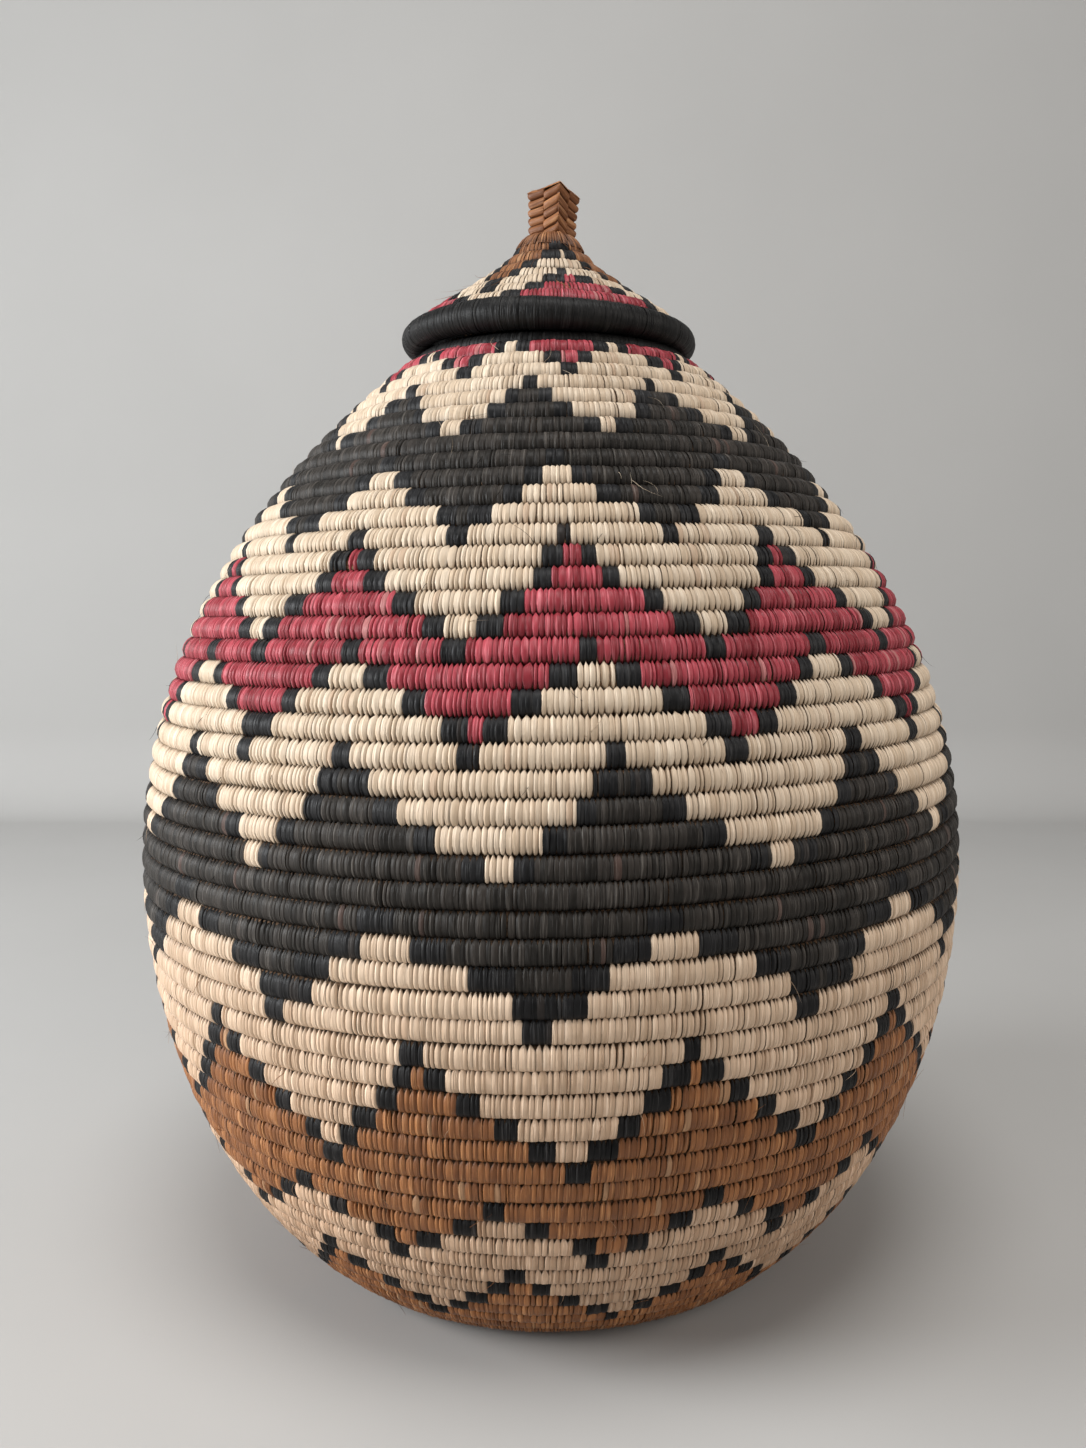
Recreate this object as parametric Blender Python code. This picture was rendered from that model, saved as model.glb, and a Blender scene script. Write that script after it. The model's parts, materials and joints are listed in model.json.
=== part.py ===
"""Lidded coiled basket of palm leaf over grass: an egg-shaped body, and a conical lid with a plaited knob.

The body is one spiral coil from the knot at the middle of its base to the mouth. It is modelled in runs of
turns, each a closed solid, and so is the lid. Metres, +Z up, origin on the floor under the base's middle.
"""

import math

import bmesh
import bpy
from mathutils import Matrix, Vector

# The body's outline, at the middle of the coil's depth.
FLAT_RADIUS = 0.0988
BELLY_RADIUS = 0.1792
BELLY_HEIGHT = 0.1772
MOUTH_RADIUS = 0.0617
MOUTH_HEIGHT = 0.3945
FOOT_BEND_RADIUS = 0.022
WALL_RISE_DEG = 41.6
MOUTH_SLOPE_DEG = 38.8
LOWER_FULLNESS = 0.619
UPPER_FULLNESS = 0.664

# The coil that the body is wound from.
COIL_PITCH = 0.0090
COIL_DEPTH = 0.0085
GROOVE_DEPTH = 0.0014
KNOT_RADIUS = 0.0085
SEAM_GAP = 0.0003
BODY_SIDES = 28
START_ANGLE_DEG = -90.0
FLAT_CREST_SHARE = 0.3

# The bound rim of the mouth, and the thick bound ring of the lid that rests on it.
RIM_THICKNESS = 0.0075
RING_THICKNESS = 0.0126
RING_RADIUS = 0.0602
ROUND_SIDES = 8

# The lid: a cone of thinner coil, and a collar of the same coil that drops into the mouth.
LID_PITCH = 0.0078
LID_DEPTH = 0.0065
LID_GROOVE = 0.0011
CONE_SEAT_DEG = 127.0
CONE_TIP_RADIUS = 0.0098
CONE_RISE = 0.0358
CONE_FOOT_DEG = 34.5
CONE_TIP_DEG = 60.0
CONE_FULLNESS = 0.35
COLLAR_PLAY = 0.0012
COLLAR_DROP = 0.0190
LID_SIDES = 24

# The plaited knob: eight strands round a core of the same leaf, and the stem that holds it in the lid.
KNOB_SIDE = 0.0157
KNOB_HEIGHT = 0.0194
KNOB_FLARE = 1.07
KNOB_TURN_DEG = -34.0
FOLD_TIERS = 5
FOLD_THICKNESS = 0.0021
FOLD_TUCK = 0.55
FOLD_LEAN_DEG = 3.0
STEM_RADIUS = 0.0046
STEM_TAIL = 0.0070

# The wall's runs from the foot up: name, turns that it takes of every 49, and the leaf that it shows most of.
WALL_RUNS = (
    ("lower_wall_coil", 8, "natural"),
    ("haunch_coil", 8, "rust"),
    ("lower_belly_coil", 4, "natural"),
    ("belly_coil", 7, "dark"),
    ("upper_belly_coil", 9, "red"),
    ("upper_wall_coil", 7, "dark"),
    ("shoulder_coil", 6, "natural"),
)

# Base colours, linear, and roughness of the leaf as dyed, and of the grass inside.
LEAVES = {
    "natural": ((0.66, 0.53, 0.37), 0.62),
    "black": ((0.022, 0.024, 0.028), 0.50),
    "dark": ((0.045, 0.038, 0.032), 0.55),
    "red": ((0.40, 0.050, 0.085), 0.60),
    "rust": ((0.40, 0.17, 0.065), 0.60),
    "grass": ((0.50, 0.38, 0.21), 0.80),
}


def clear_scene():
    """Removes the startup objects."""
    for item in list(bpy.data.objects):
        bpy.data.objects.remove(item)


def new_collection(name):
    made = bpy.data.collections.new(name)
    bpy.context.scene.collection.children.link(made)
    return made


def leaf_materials():
    """One plain material for each colour of leaf, by name."""
    made = {}
    for name, (colour, roughness) in LEAVES.items():
        made[name] = bpy.data.materials.new(f"{name}_leaf")
        made[name].use_nodes = True
        shader = made[name].node_tree.nodes["Principled BSDF"]
        shader.inputs["Base Color"].default_value = (*colour, 1.0)
        shader.inputs["Roughness"].default_value = roughness
        shader.inputs["Metallic"].default_value = 0.0
    return made


def add_part(name, bm, material, collection, parent=None, height=0.0):
    """Ends a bmesh as one named sub-part: closed, faces out, smooth but for its sharp edges."""
    bmesh.ops.remove_doubles(bm, verts=bm.verts, dist=1e-6)
    bmesh.ops.recalc_face_normals(bm, faces=bm.faces)
    mesh = bpy.data.meshes.new(name)
    bm.to_mesh(mesh)
    bm.free()
    mesh.shade_smooth()
    mesh.set_sharp_from_angle(angle=math.radians(40))
    mesh.materials.append(material)
    made = bpy.data.objects.new(name, mesh)
    made.location.z = height
    made.parent = parent
    collection.objects.link(made)
    return made


def direction(degrees):
    return Vector((math.cos(math.radians(degrees)), math.sin(math.radians(degrees))))


def bezier(start, start_handle, end_handle, end, steps=40):
    """Points of a cubic curve, without its first."""
    points = []
    for step in range(1, steps + 1):
        t = step / steps
        points.append(start * (1 - t) ** 3 + start_handle * (3 * t * (1 - t) ** 2)
                      + end_handle * (3 * t * t * (1 - t)) + end * t ** 3)
    return points


def corner_of(start, start_way, radius):
    """Where the line from start in this direction reaches a radius."""
    return start + start_way * ((radius - start.x) / start_way.x)


class Outline:
    """A line of radius and height that a coil is wound along, read by its length from the start.

    side is -1 where the outside lies to the right of the line's direction, and 1 where it lies to the left.
    """

    def __init__(self, points, side):
        self.points = points
        self.side = side
        self.marks = [0.0]
        for before, after in zip(points, points[1:]):
            self.marks.append(self.marks[-1] + (after - before).length)

    @property
    def length(self):
        return self.marks[-1]

    def outside(self, number):
        """The direction to the outside at a point of the line."""
        before = self.points[max(number - 1, 0)]
        after = self.points[min(number + 1, len(self.points) - 1)]
        way = (after - before).normalized()
        return Vector((-way.y, way.x)) * self.side

    def at(self, along):
        """The point of the line at this length, and the direction to the outside there."""
        along = min(max(along, 0.0), self.length)
        number = 0
        while number < len(self.marks) - 2 and self.marks[number + 1] < along:
            number += 1
        share = (along - self.marks[number]) / (self.marks[number + 1] - self.marks[number])
        point = self.points[number].lerp(self.points[number + 1], share)
        return point, self.outside(number).lerp(self.outside(number + 1), share).normalized()


def body_outline():
    """From the middle of the base, flat, round the foot, out to the belly and in to the mouth."""
    level = COIL_DEPTH / 2
    bend_middle = Vector((FLAT_RADIUS, level + FOOT_BEND_RADIUS))
    points = [Vector((0.0, level)), Vector((FLAT_RADIUS, level))]
    bend_steps = 10
    for step in range(1, bend_steps + 1):
        points.append(bend_middle + direction(-90 + WALL_RISE_DEG * step / bend_steps) * FOOT_BEND_RADIUS)
    foot = points[-1]
    belly = Vector((BELLY_RADIUS, BELLY_HEIGHT))
    mouth = Vector((MOUTH_RADIUS, MOUTH_HEIGHT))
    low_corner = corner_of(foot, direction(WALL_RISE_DEG), BELLY_RADIUS)
    points += bezier(foot, foot.lerp(low_corner, LOWER_FULLNESS),
                     belly.lerp(low_corner, LOWER_FULLNESS), belly)
    high_corner = corner_of(mouth, direction(-MOUTH_SLOPE_DEG), BELLY_RADIUS)
    points += bezier(belly, belly.lerp(high_corner, UPPER_FULLNESS),
                     mouth.lerp(high_corner, UPPER_FULLNESS), mouth)
    return Outline(points, side=-1)


class Coil:
    """A coil wound along an outline. Its first and its last turn taper, so that it starts and ends level.

    turning is 1 for a coil that goes counter-clockwise seen from above, and -1 for one that goes clockwise.
    """

    def __init__(self, outline, start, end, pitch, depth, groove, sides, turning=1):
        self.outline = outline
        self.start = start
        self.turns = max(2, round((end - start) / pitch))
        self.pitch = (end - start) / self.turns
        self.depth = depth
        self.groove = groove
        self.sides = sides
        self.turning = turning
        self.last_step = (self.turns + 1) * sides

    def groove_at(self, step):
        """How far along the outline the groove is that the coil lies on at this step round."""
        return self.start + self.pitch * min(max(step / self.sides - 1, 0.0), self.turns)

    def back_step_near(self, along):
        """The step at the back of the basket where the coil has come about this far along the outline."""
        return round((along - self.start) / self.pitch) * self.sides + self.sides // 2

    def place(self, step, along, proud, back=0.0):
        """The point at this step round, at this length of the outline, this far to the outside of it."""
        point, outside = self.outline.at(along)
        point = point + outside * proud
        angle = 2 * math.pi * step / self.sides - back / max(point.x, self.depth)
        angle = math.radians(START_ANGLE_DEG) + angle * self.turning
        return Vector((point.x * math.cos(angle), point.x * math.sin(angle), point.y))

    def run(self, low, high, crests=(0.5,)):
        """The closed solid from one step to another. crests are the high points, as shares of a turn."""
        bm = bmesh.new()
        sides = self.sides
        valley = self.depth / 2 - self.groove
        ends_at_seam = high < self.last_step
        outer, inner, crest = {}, {}, {}
        for step in range(low, high + sides + 1):
            along, back = self.groove_at(step), 0.0
            if step >= high and ends_at_seam:
                along -= SEAM_GAP
                back = SEAM_GAP if step == high + sides else 0.0
            outer[step] = bm.verts.new(self.place(step, along, valley, back))
            inner[step] = bm.verts.new(self.place(step, along, -self.depth / 2, back))
        for step in range(low, high + 1):
            under, over = self.groove_at(step), self.groove_at(step + sides)
            proud = valley + self.groove * (over - under) / self.pitch
            back = SEAM_GAP if step == high and ends_at_seam else 0.0
            crest[step] = [bm.verts.new(self.place(step, under + (over - under) * share, proud, back))
                           for share in crests]
        for step in range(low, high):
            here = [outer[step], *crest[step], outer[step + sides], inner[step + sides], inner[step]]
            there = [outer[step + 1], *crest[step + 1], outer[step + 1 + sides], inner[step + 1 + sides],
                     inner[step + 1]]
            for side in (*range(len(crests) + 1), len(crests) + 2):
                bm.faces.new((here[side], there[side], there[side + 1], here[side + 1]))
        for edge in (low, high):
            for step in range(edge, edge + sides):
                bm.faces.new((outer[step], inner[step], inner[step + 1], outer[step + 1]))
            bm.faces.new((outer[edge], *crest[edge], outer[edge + sides], inner[edge + sides], inner[edge]))
        return bm


def make_body(collection, leaves):
    """The knot, the base, the foot, the wall's runs and the bound rim. Returns the rim's core."""
    outline = body_outline()
    coil = Coil(outline, KNOT_RADIUS, outline.length, COIL_PITCH, COIL_DEPTH, GROOVE_DEPTH, BODY_SIDES)
    add_part("start_knot", drum(KNOT_RADIUS - SEAM_GAP, 0.0, COIL_DEPTH, 20), leaves["rust"], collection)
    base_end = coil.back_step_near(FLAT_RADIUS - COIL_PITCH)
    foot_end = coil.back_step_near(FLAT_RADIUS + FOOT_BEND_RADIUS * math.radians(WALL_RISE_DEG) + COIL_PITCH)
    flat_crests = (FLAT_CREST_SHARE, 1 - FLAT_CREST_SHARE)
    add_part("base_coil", coil.run(0, base_end, flat_crests), leaves["rust"], collection)
    add_part("foot_coil", coil.run(base_end, foot_end), leaves["rust"], collection)
    low, wall = foot_end, outline.length - coil.groove_at(foot_end)
    to_go = total = sum(turns for _, turns, _ in WALL_RUNS)
    for name, turns, leaf in WALL_RUNS:
        to_go -= turns
        high = coil.back_step_near(outline.length - wall * to_go / total) if to_go else coil.last_step
        add_part(name, coil.run(low, high), leaves[leaf], collection)
        low = high
    mouth, _ = outline.at(outline.length)
    rim = mouth + direction(180 - MOUTH_SLOPE_DEG) * (RIM_THICKNESS / 2 + SEAM_GAP)
    bound = bound_ring(rim.x, 0.0, RIM_THICKNESS, BODY_SIDES)
    add_part("mouth_rim", bound, leaves["black"], collection, height=rim.y)
    return rim


def drum(radius, low, high, sides):
    """An upright cylinder between two heights."""
    bm = bmesh.new()
    bmesh.ops.create_cone(bm, cap_ends=True, segments=sides, radius1=radius, radius2=radius, depth=high - low,
                          matrix=Matrix.Translation((0, 0, (low + high) / 2)))
    return bm


def bound_ring(radius, height, thickness, sides):
    """A ring of round section about the axis. radius and height are those of its core."""
    bm = bmesh.new()
    middle = Matrix.Translation((radius, 0, height)) @ Matrix.Rotation(math.pi / 2, 4, "X")
    section = bmesh.ops.create_circle(bm, segments=ROUND_SIDES, radius=thickness / 2, matrix=middle)["verts"]
    edges = list({edge for vert in section for edge in vert.link_edges})
    bmesh.ops.spin(bm, geom=section + edges, cent=(0, 0, 0), axis=(0, 0, 1), angle=2 * math.pi, steps=sides)
    return bm


def cone_outline(ring):
    """From the tip down to where the cone lies against the inner side of the ring's top."""
    foot = ring + direction(CONE_SEAT_DEG) * (RING_THICKNESS / 2 + LID_DEPTH / 2 + SEAM_GAP)
    tip = Vector((CONE_TIP_RADIUS, foot.y + CONE_RISE))
    reach = (foot.x - tip.x) * CONE_FULLNESS
    tip_handle = tip + direction(-CONE_TIP_DEG) * reach
    foot_handle = foot + direction(180 - CONE_FOOT_DEG) * reach
    return Outline([tip, *bezier(tip, tip_handle, foot_handle, foot, steps=24)], side=1)


def make_lid(rim, collection, leaves):
    """The ring on the rim, the cone against it and the collar under the cone, with heights from the rim.

    Returns the empty that carries the lid, and the cone's tip.
    """
    lid = bpy.data.objects.new("lid_seat", None)
    lid.location.z = rim.y
    collection.objects.link(lid)
    touch = (RIM_THICKNESS + RING_THICKNESS) / 2 + SEAM_GAP
    ring = Vector((RING_RADIUS, math.sqrt(touch ** 2 - (rim.x - RING_RADIUS) ** 2)))
    bound = bound_ring(ring.x, ring.y, RING_THICKNESS, BODY_SIDES)
    add_part("lid_ring", bound, leaves["black"], collection, parent=lid)
    outline = cone_outline(ring)
    cone = Coil(outline, 0.0, outline.length, LID_PITCH, LID_DEPTH, LID_GROOVE, LID_SIDES, turning=-1)
    add_part("cone_coil", cone.run(0, cone.last_step), leaves["natural"], collection, parent=lid)
    collar_radius = rim.x - RIM_THICKNESS / 2 - COLLAR_PLAY - LID_DEPTH / 2
    top = height_under_cone(outline, collar_radius) - SEAM_GAP
    line = Outline([Vector((collar_radius, top)), Vector((collar_radius, -COLLAR_DROP))], side=1)
    collar = Coil(line, 0.0, line.length, LID_PITCH, LID_DEPTH, LID_GROOVE, LID_SIDES, turning=-1)
    add_part("collar_coil", collar.run(0, collar.last_step), leaves["black"], collection, parent=lid)
    return lid, outline.points[0]


def height_under_cone(outline, collar_radius):
    """The height at which the outer edge of a collar of this radius meets the underside of the cone."""
    edge = collar_radius + LID_DEPTH / 2
    under = [point - outline.outside(number) * (LID_DEPTH / 2) for number, point in enumerate(outline.points)]
    return min(point.y for point in under if point.x <= edge)


def make_knob(lid, tip, collection, leaves):
    """The stem through the cone's tip, the core, and the plait of eight strands, two to a face."""
    foot = tip.y + LID_DEPTH / 2 + SEAM_GAP
    turn = Matrix.Rotation(math.radians(KNOB_TURN_DEG), 4, "Z")
    stem = drum(STEM_RADIUS, foot - LID_DEPTH - STEM_TAIL, foot, 12)
    add_part("knob_stem", stem, leaves["grass"], collection, parent=lid)
    core_side = KNOB_SIDE - 2 * (FOLD_THICKNESS + SEAM_GAP)
    bm = bmesh.new()
    block = Matrix.Diagonal((core_side, core_side, KNOB_HEIGHT, 1))
    bmesh.ops.create_cube(bm, size=1.0, matrix=Matrix.Translation((0, 0, KNOB_HEIGHT / 2)) @ block)
    set_on_lid(bm, foot + SEAM_GAP, turn)
    add_part("knob_core", bm, leaves["rust"], collection, parent=lid)
    for face in range(4):
        quarter = Matrix.Rotation(math.radians(90 * face), 4, "Z")
        for column, place in (("left", -1), ("right", 1)):
            bm = plait_strand(core_side, place)
            set_on_lid(bm, foot + SEAM_GAP, turn @ quarter)
            add_part(f"plait_strand_{face + 1}_{column}", bm, leaves["rust"], collection, parent=lid)


def set_on_lid(bm, foot, turn):
    """Flares a piece of the knob with height, turns it and stands it on the lid."""
    for vert in bm.verts:
        flare = 1 + (KNOB_FLARE - 1) * vert.co.z / KNOB_HEIGHT
        vert.co = Vector((vert.co.x * flare, vert.co.y * flare, vert.co.z))
    bmesh.ops.transform(bm, matrix=Matrix.Translation((0, 0, foot)) @ turn, verts=bm.verts)


def plait_strand(core_side, place):
    """One column of folds, on the left (-1) or right (1) half of the front face, each proud near its top."""
    tier = KNOB_HEIGHT / (FOLD_TIERS + 0.5)
    face = -core_side / 2 - SEAM_GAP
    low = 0.5 * tier if place > 0 else 0.0
    section = [(face, 0.0), (face - FOLD_THICKNESS * FOLD_TUCK, 0.0)] if place > 0 else [(face, 0.0)]
    for number in range(FOLD_TIERS):
        foot = low + tier * number
        section.append((face - FOLD_THICKNESS * FOLD_TUCK, foot))
        section.append((face - FOLD_THICKNESS, foot + tier * 0.7))
        section.append((face - FOLD_THICKNESS * 0.9, foot + tier * 0.96))
    section.append((face, low + tier * FOLD_TIERS))
    inner_edge = SEAM_GAP / 2 * place + FOLD_THICKNESS / 2
    outer_edge = (core_side / 2 + FOLD_THICKNESS / 2) * place + FOLD_THICKNESS / 2
    outer_edge += SEAM_GAP if place > 0 else 0.0
    lean = math.tan(math.radians(FOLD_LEAN_DEG))
    bm = bmesh.new()
    ends = []
    for across in (inner_edge, outer_edge):
        rise = abs(across) * lean
        ends.append([bm.verts.new((across, y, z + (rise if z > 0.0 else 0.0))) for y, z in section])
    for number in range(len(section)):
        after = (number + 1) % len(section)
        bm.faces.new((ends[0][number], ends[1][number], ends[1][after], ends[0][after]))
    bm.faces.new(ends[0])
    bm.faces.new(ends[1])
    return bm


def main():
    clear_scene()
    basket = new_collection("lidded_coiled_basket")
    leaves = leaf_materials()
    rim = make_body(basket, leaves)
    lid, tip = make_lid(rim, basket, leaves)
    make_knob(lid, tip, basket, leaves)


main()
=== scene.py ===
# %% [markdown]
# # A coiled basket with its lid
# The basket is one long coil of grass, wound from the middle of the base up to the mouth. Strips of palm leaf
# are wrapped round it, and each wrap also goes through the turn below, which holds the turns together. What
# shows is some twenty thousand stitches, so the lesson is about placing and shaping many small strips by rule.
# The packed model gives the frame: its nodes are the coils, the rims and the knob, and it stays as it is.

# %% The packed model
import json
import math

import bpy
import numpy as np
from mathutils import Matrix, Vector

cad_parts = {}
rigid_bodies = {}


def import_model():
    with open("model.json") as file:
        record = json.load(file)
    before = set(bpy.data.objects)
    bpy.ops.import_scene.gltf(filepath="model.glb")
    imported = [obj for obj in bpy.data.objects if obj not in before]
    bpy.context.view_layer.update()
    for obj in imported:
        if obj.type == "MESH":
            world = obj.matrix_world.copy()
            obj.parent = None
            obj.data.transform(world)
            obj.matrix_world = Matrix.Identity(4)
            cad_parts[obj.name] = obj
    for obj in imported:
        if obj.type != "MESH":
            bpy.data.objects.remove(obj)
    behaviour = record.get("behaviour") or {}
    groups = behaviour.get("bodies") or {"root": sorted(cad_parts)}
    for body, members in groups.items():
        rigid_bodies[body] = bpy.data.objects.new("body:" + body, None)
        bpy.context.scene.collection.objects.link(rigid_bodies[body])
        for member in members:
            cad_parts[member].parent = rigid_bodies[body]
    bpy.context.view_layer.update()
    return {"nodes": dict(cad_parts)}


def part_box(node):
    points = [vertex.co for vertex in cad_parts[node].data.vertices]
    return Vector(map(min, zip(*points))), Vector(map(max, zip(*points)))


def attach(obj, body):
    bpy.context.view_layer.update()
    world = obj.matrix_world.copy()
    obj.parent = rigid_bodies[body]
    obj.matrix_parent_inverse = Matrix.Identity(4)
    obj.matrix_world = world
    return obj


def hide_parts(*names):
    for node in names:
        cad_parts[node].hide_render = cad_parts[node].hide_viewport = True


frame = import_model()
print("nodes:", sorted(frame["nodes"]))

# %% [markdown]
# ## The camera
# The photograph was taken from close by with the camera at about a third of the way down the basket, looking
# down a little. A short distance shows in the wide rows of the belly and in how small the base looks. The
# place, the tilt and the focal length below came from fitting the outline of the basket to the photograph.

# %% Camera
PICTURE = (1086, 1448)
CAMERA_PLACE = (0.0, -0.5557535, 0.2877271)
CAMERA_DOWN_DEG = 5.4908
FOCAL_PIXELS = 1186.4734
AXIS_COLUMN = 551
SENSOR_HEIGHT = 24

camera = bpy.data.objects.new("camera", bpy.data.cameras.new("camera"))
camera.location = CAMERA_PLACE
camera.rotation_euler = (math.radians(90 - CAMERA_DOWN_DEG), 0, 0)
camera.data.sensor_fit = "VERTICAL"
camera.data.sensor_height = SENSOR_HEIGHT
camera.data.lens = FOCAL_PIXELS / PICTURE[1] * SENSOR_HEIGHT
camera.data.shift_x = (PICTURE[0] / 2 - AXIS_COLUMN) / PICTURE[1]
camera.data.clip_start = 0.01
bpy.context.scene.collection.objects.link(camera)
bpy.context.scene.camera = camera
print(f"lens {camera.data.lens:.2f} mm on a sensor {SENSOR_HEIGHT} mm high, shift {camera.data.shift_x:.4f}")

# %% [markdown]
# ## Shader maths as expressions
# A finish is easier to read as a formula than as a list of nodes. `Wire` stands for one output of a node, and
# arithmetic on it adds Math nodes. `Finish.node` adds any other node: its settings first, then its inputs.

# %% Wires and finishes
class Wire:
    """One output of a node. Sums and products of wires add Math nodes."""

    def __init__(self, finish, socket):
        self.finish, self.socket = finish, socket

    def maths(self, operation, *terms):
        return self.finish.node("ShaderNodeMath", {"operation": operation}, dict(enumerate(terms)))

    def __add__(self, other):
        return self.maths("ADD", self, other)

    def __sub__(self, other):
        return self.maths("SUBTRACT", self, other)

    def __rsub__(self, other):
        return self.maths("SUBTRACT", other, self)

    def __mul__(self, other):
        return self.maths("MULTIPLY", self, other)

    def __abs__(self):
        return self.maths("ABSOLUTE", self)

    __radd__, __rmul__ = __add__, __mul__

    def between(self, low, high):
        """0 below low, 1 above high, and smooth between them."""
        settings = {"interpolation_type": "SMOOTHSTEP"}
        return self.finish.node("ShaderNodeMapRange", settings, {"Value": self, "From Min": low, "From Max": high})


class Finish:
    """A material under construction, with a Principled shader."""

    def __init__(self, name, **constants):
        self.material = bpy.data.materials.new(name)
        self.material.use_nodes = True
        self.tree = self.material.node_tree
        self.shader = self.tree.nodes["Principled BSDF"]
        for socket, value in constants.items():
            self.shader.inputs[socket.replace("_", " ")].default_value = value

    def node(self, kind, settings=None, inputs=None, output=0):
        made = self.tree.nodes.new(kind)
        for name, value in (settings or {}).items():
            setattr(made, name, value)
        for name, value in (inputs or {}).items():
            self.feed(made.inputs[name], value)
        return Wire(self, made.outputs[output])

    def feed(self, socket, value):
        if isinstance(value, Wire):
            self.tree.links.new(value.socket, socket)
        elif socket.type == "RGBA":
            socket.default_value = (*value, 1.0)
        else:
            socket.default_value = value

    def mix(self, share, first, second, blend="MIX"):
        """A mix of two colours. Mix keeps a socket set for each kind of data, and 6 and 7 are its colours."""
        settings = {"data_type": "RGBA", "blend_type": blend}
        return self.node("ShaderNodeMix", settings, {0: share, 6: first, 7: second}, output=2)

    def mark(self, name):
        """A number that the mesh carries at its points. Output 2 of this node is the number."""
        return self.node("ShaderNodeAttribute", {"attribute_name": name}, output=2)

    def place(self):
        """Where a point is on its object, in metres, which is output 3 of this node."""
        return self.node("ShaderNodeTexCoord", output=3)

    def noise(self, vector, scale, detail=2.0, roughness=0.5):
        """A cloudy pattern from 0 to 1."""
        inputs = {"Vector": vector, "Scale": scale, "Detail": detail, "Roughness": roughness}
        return self.node("ShaderNodeTexNoise", {}, inputs)

    def vector(self, x, y, z):
        return self.node("ShaderNodeCombineXYZ", {}, {0: x, 1: y, 2: z})

    def parts(self, vector):
        """The three numbers of a vector."""
        split = self.node("ShaderNodeSeparateXYZ", {}, {0: vector})
        return [Wire(self, output) for output in split.socket.node.outputs]

    def finish(self, **inputs):
        for socket, value in inputs.items():
            self.feed(self.shader.inputs[socket.replace("_", " ")], value)
        return self.material


print("a wire has", [name for name, value in vars(Wire).items() if callable(value)])

# %% [markdown]
# ## Leaf
# Ilala palm leaf is split into strips and boiled with bark, roots and soot for its colours. A strip is smooth
# and a little glossy along its fibres, which run its whole length as fine lines. No two strips took the dye
# alike. Each stitch carries `tint`, a number of its own, and a map of where it is across and along the strip.
# One formula makes every leaf: two dyes mixed by tint, lines along the fibre, a painted sheen on the folds that
# stand proud, and painted shade in the creases and at the ends and edges, where the grooves lie. Low on the basket
# the natural leaf is warmer and darker, and the black leaf far darker, which is painted shade; just over the foot
# the leaf gets a painted shadow, where the basket meets the floor. Those bands are heights in metres, from where
# the change is full to where it ends.

# %% Leaf finish
# The low band: a warmer natural leaf, and for the black leaf painted shade towards the base.
LOW_LEAF_AND_SHADE_BAND, LOW_LEAF_AND_SHADE_SHARE = (0.02, 0.28), 0.95
# A painted shadow over the foot, where the basket meets the floor.
BASE_SHADOW_BAND, BASE_SHADOW_SHARE, BASE_SHADOW_LEVEL = (0.025, 0.085), 0.50, 0.55
ODD_BAND, ODD_SHARE = (0.968, 0.98), 0.7
GROOVE_SHADE = 0.45
BUMP_METRES = 0.00045


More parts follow.
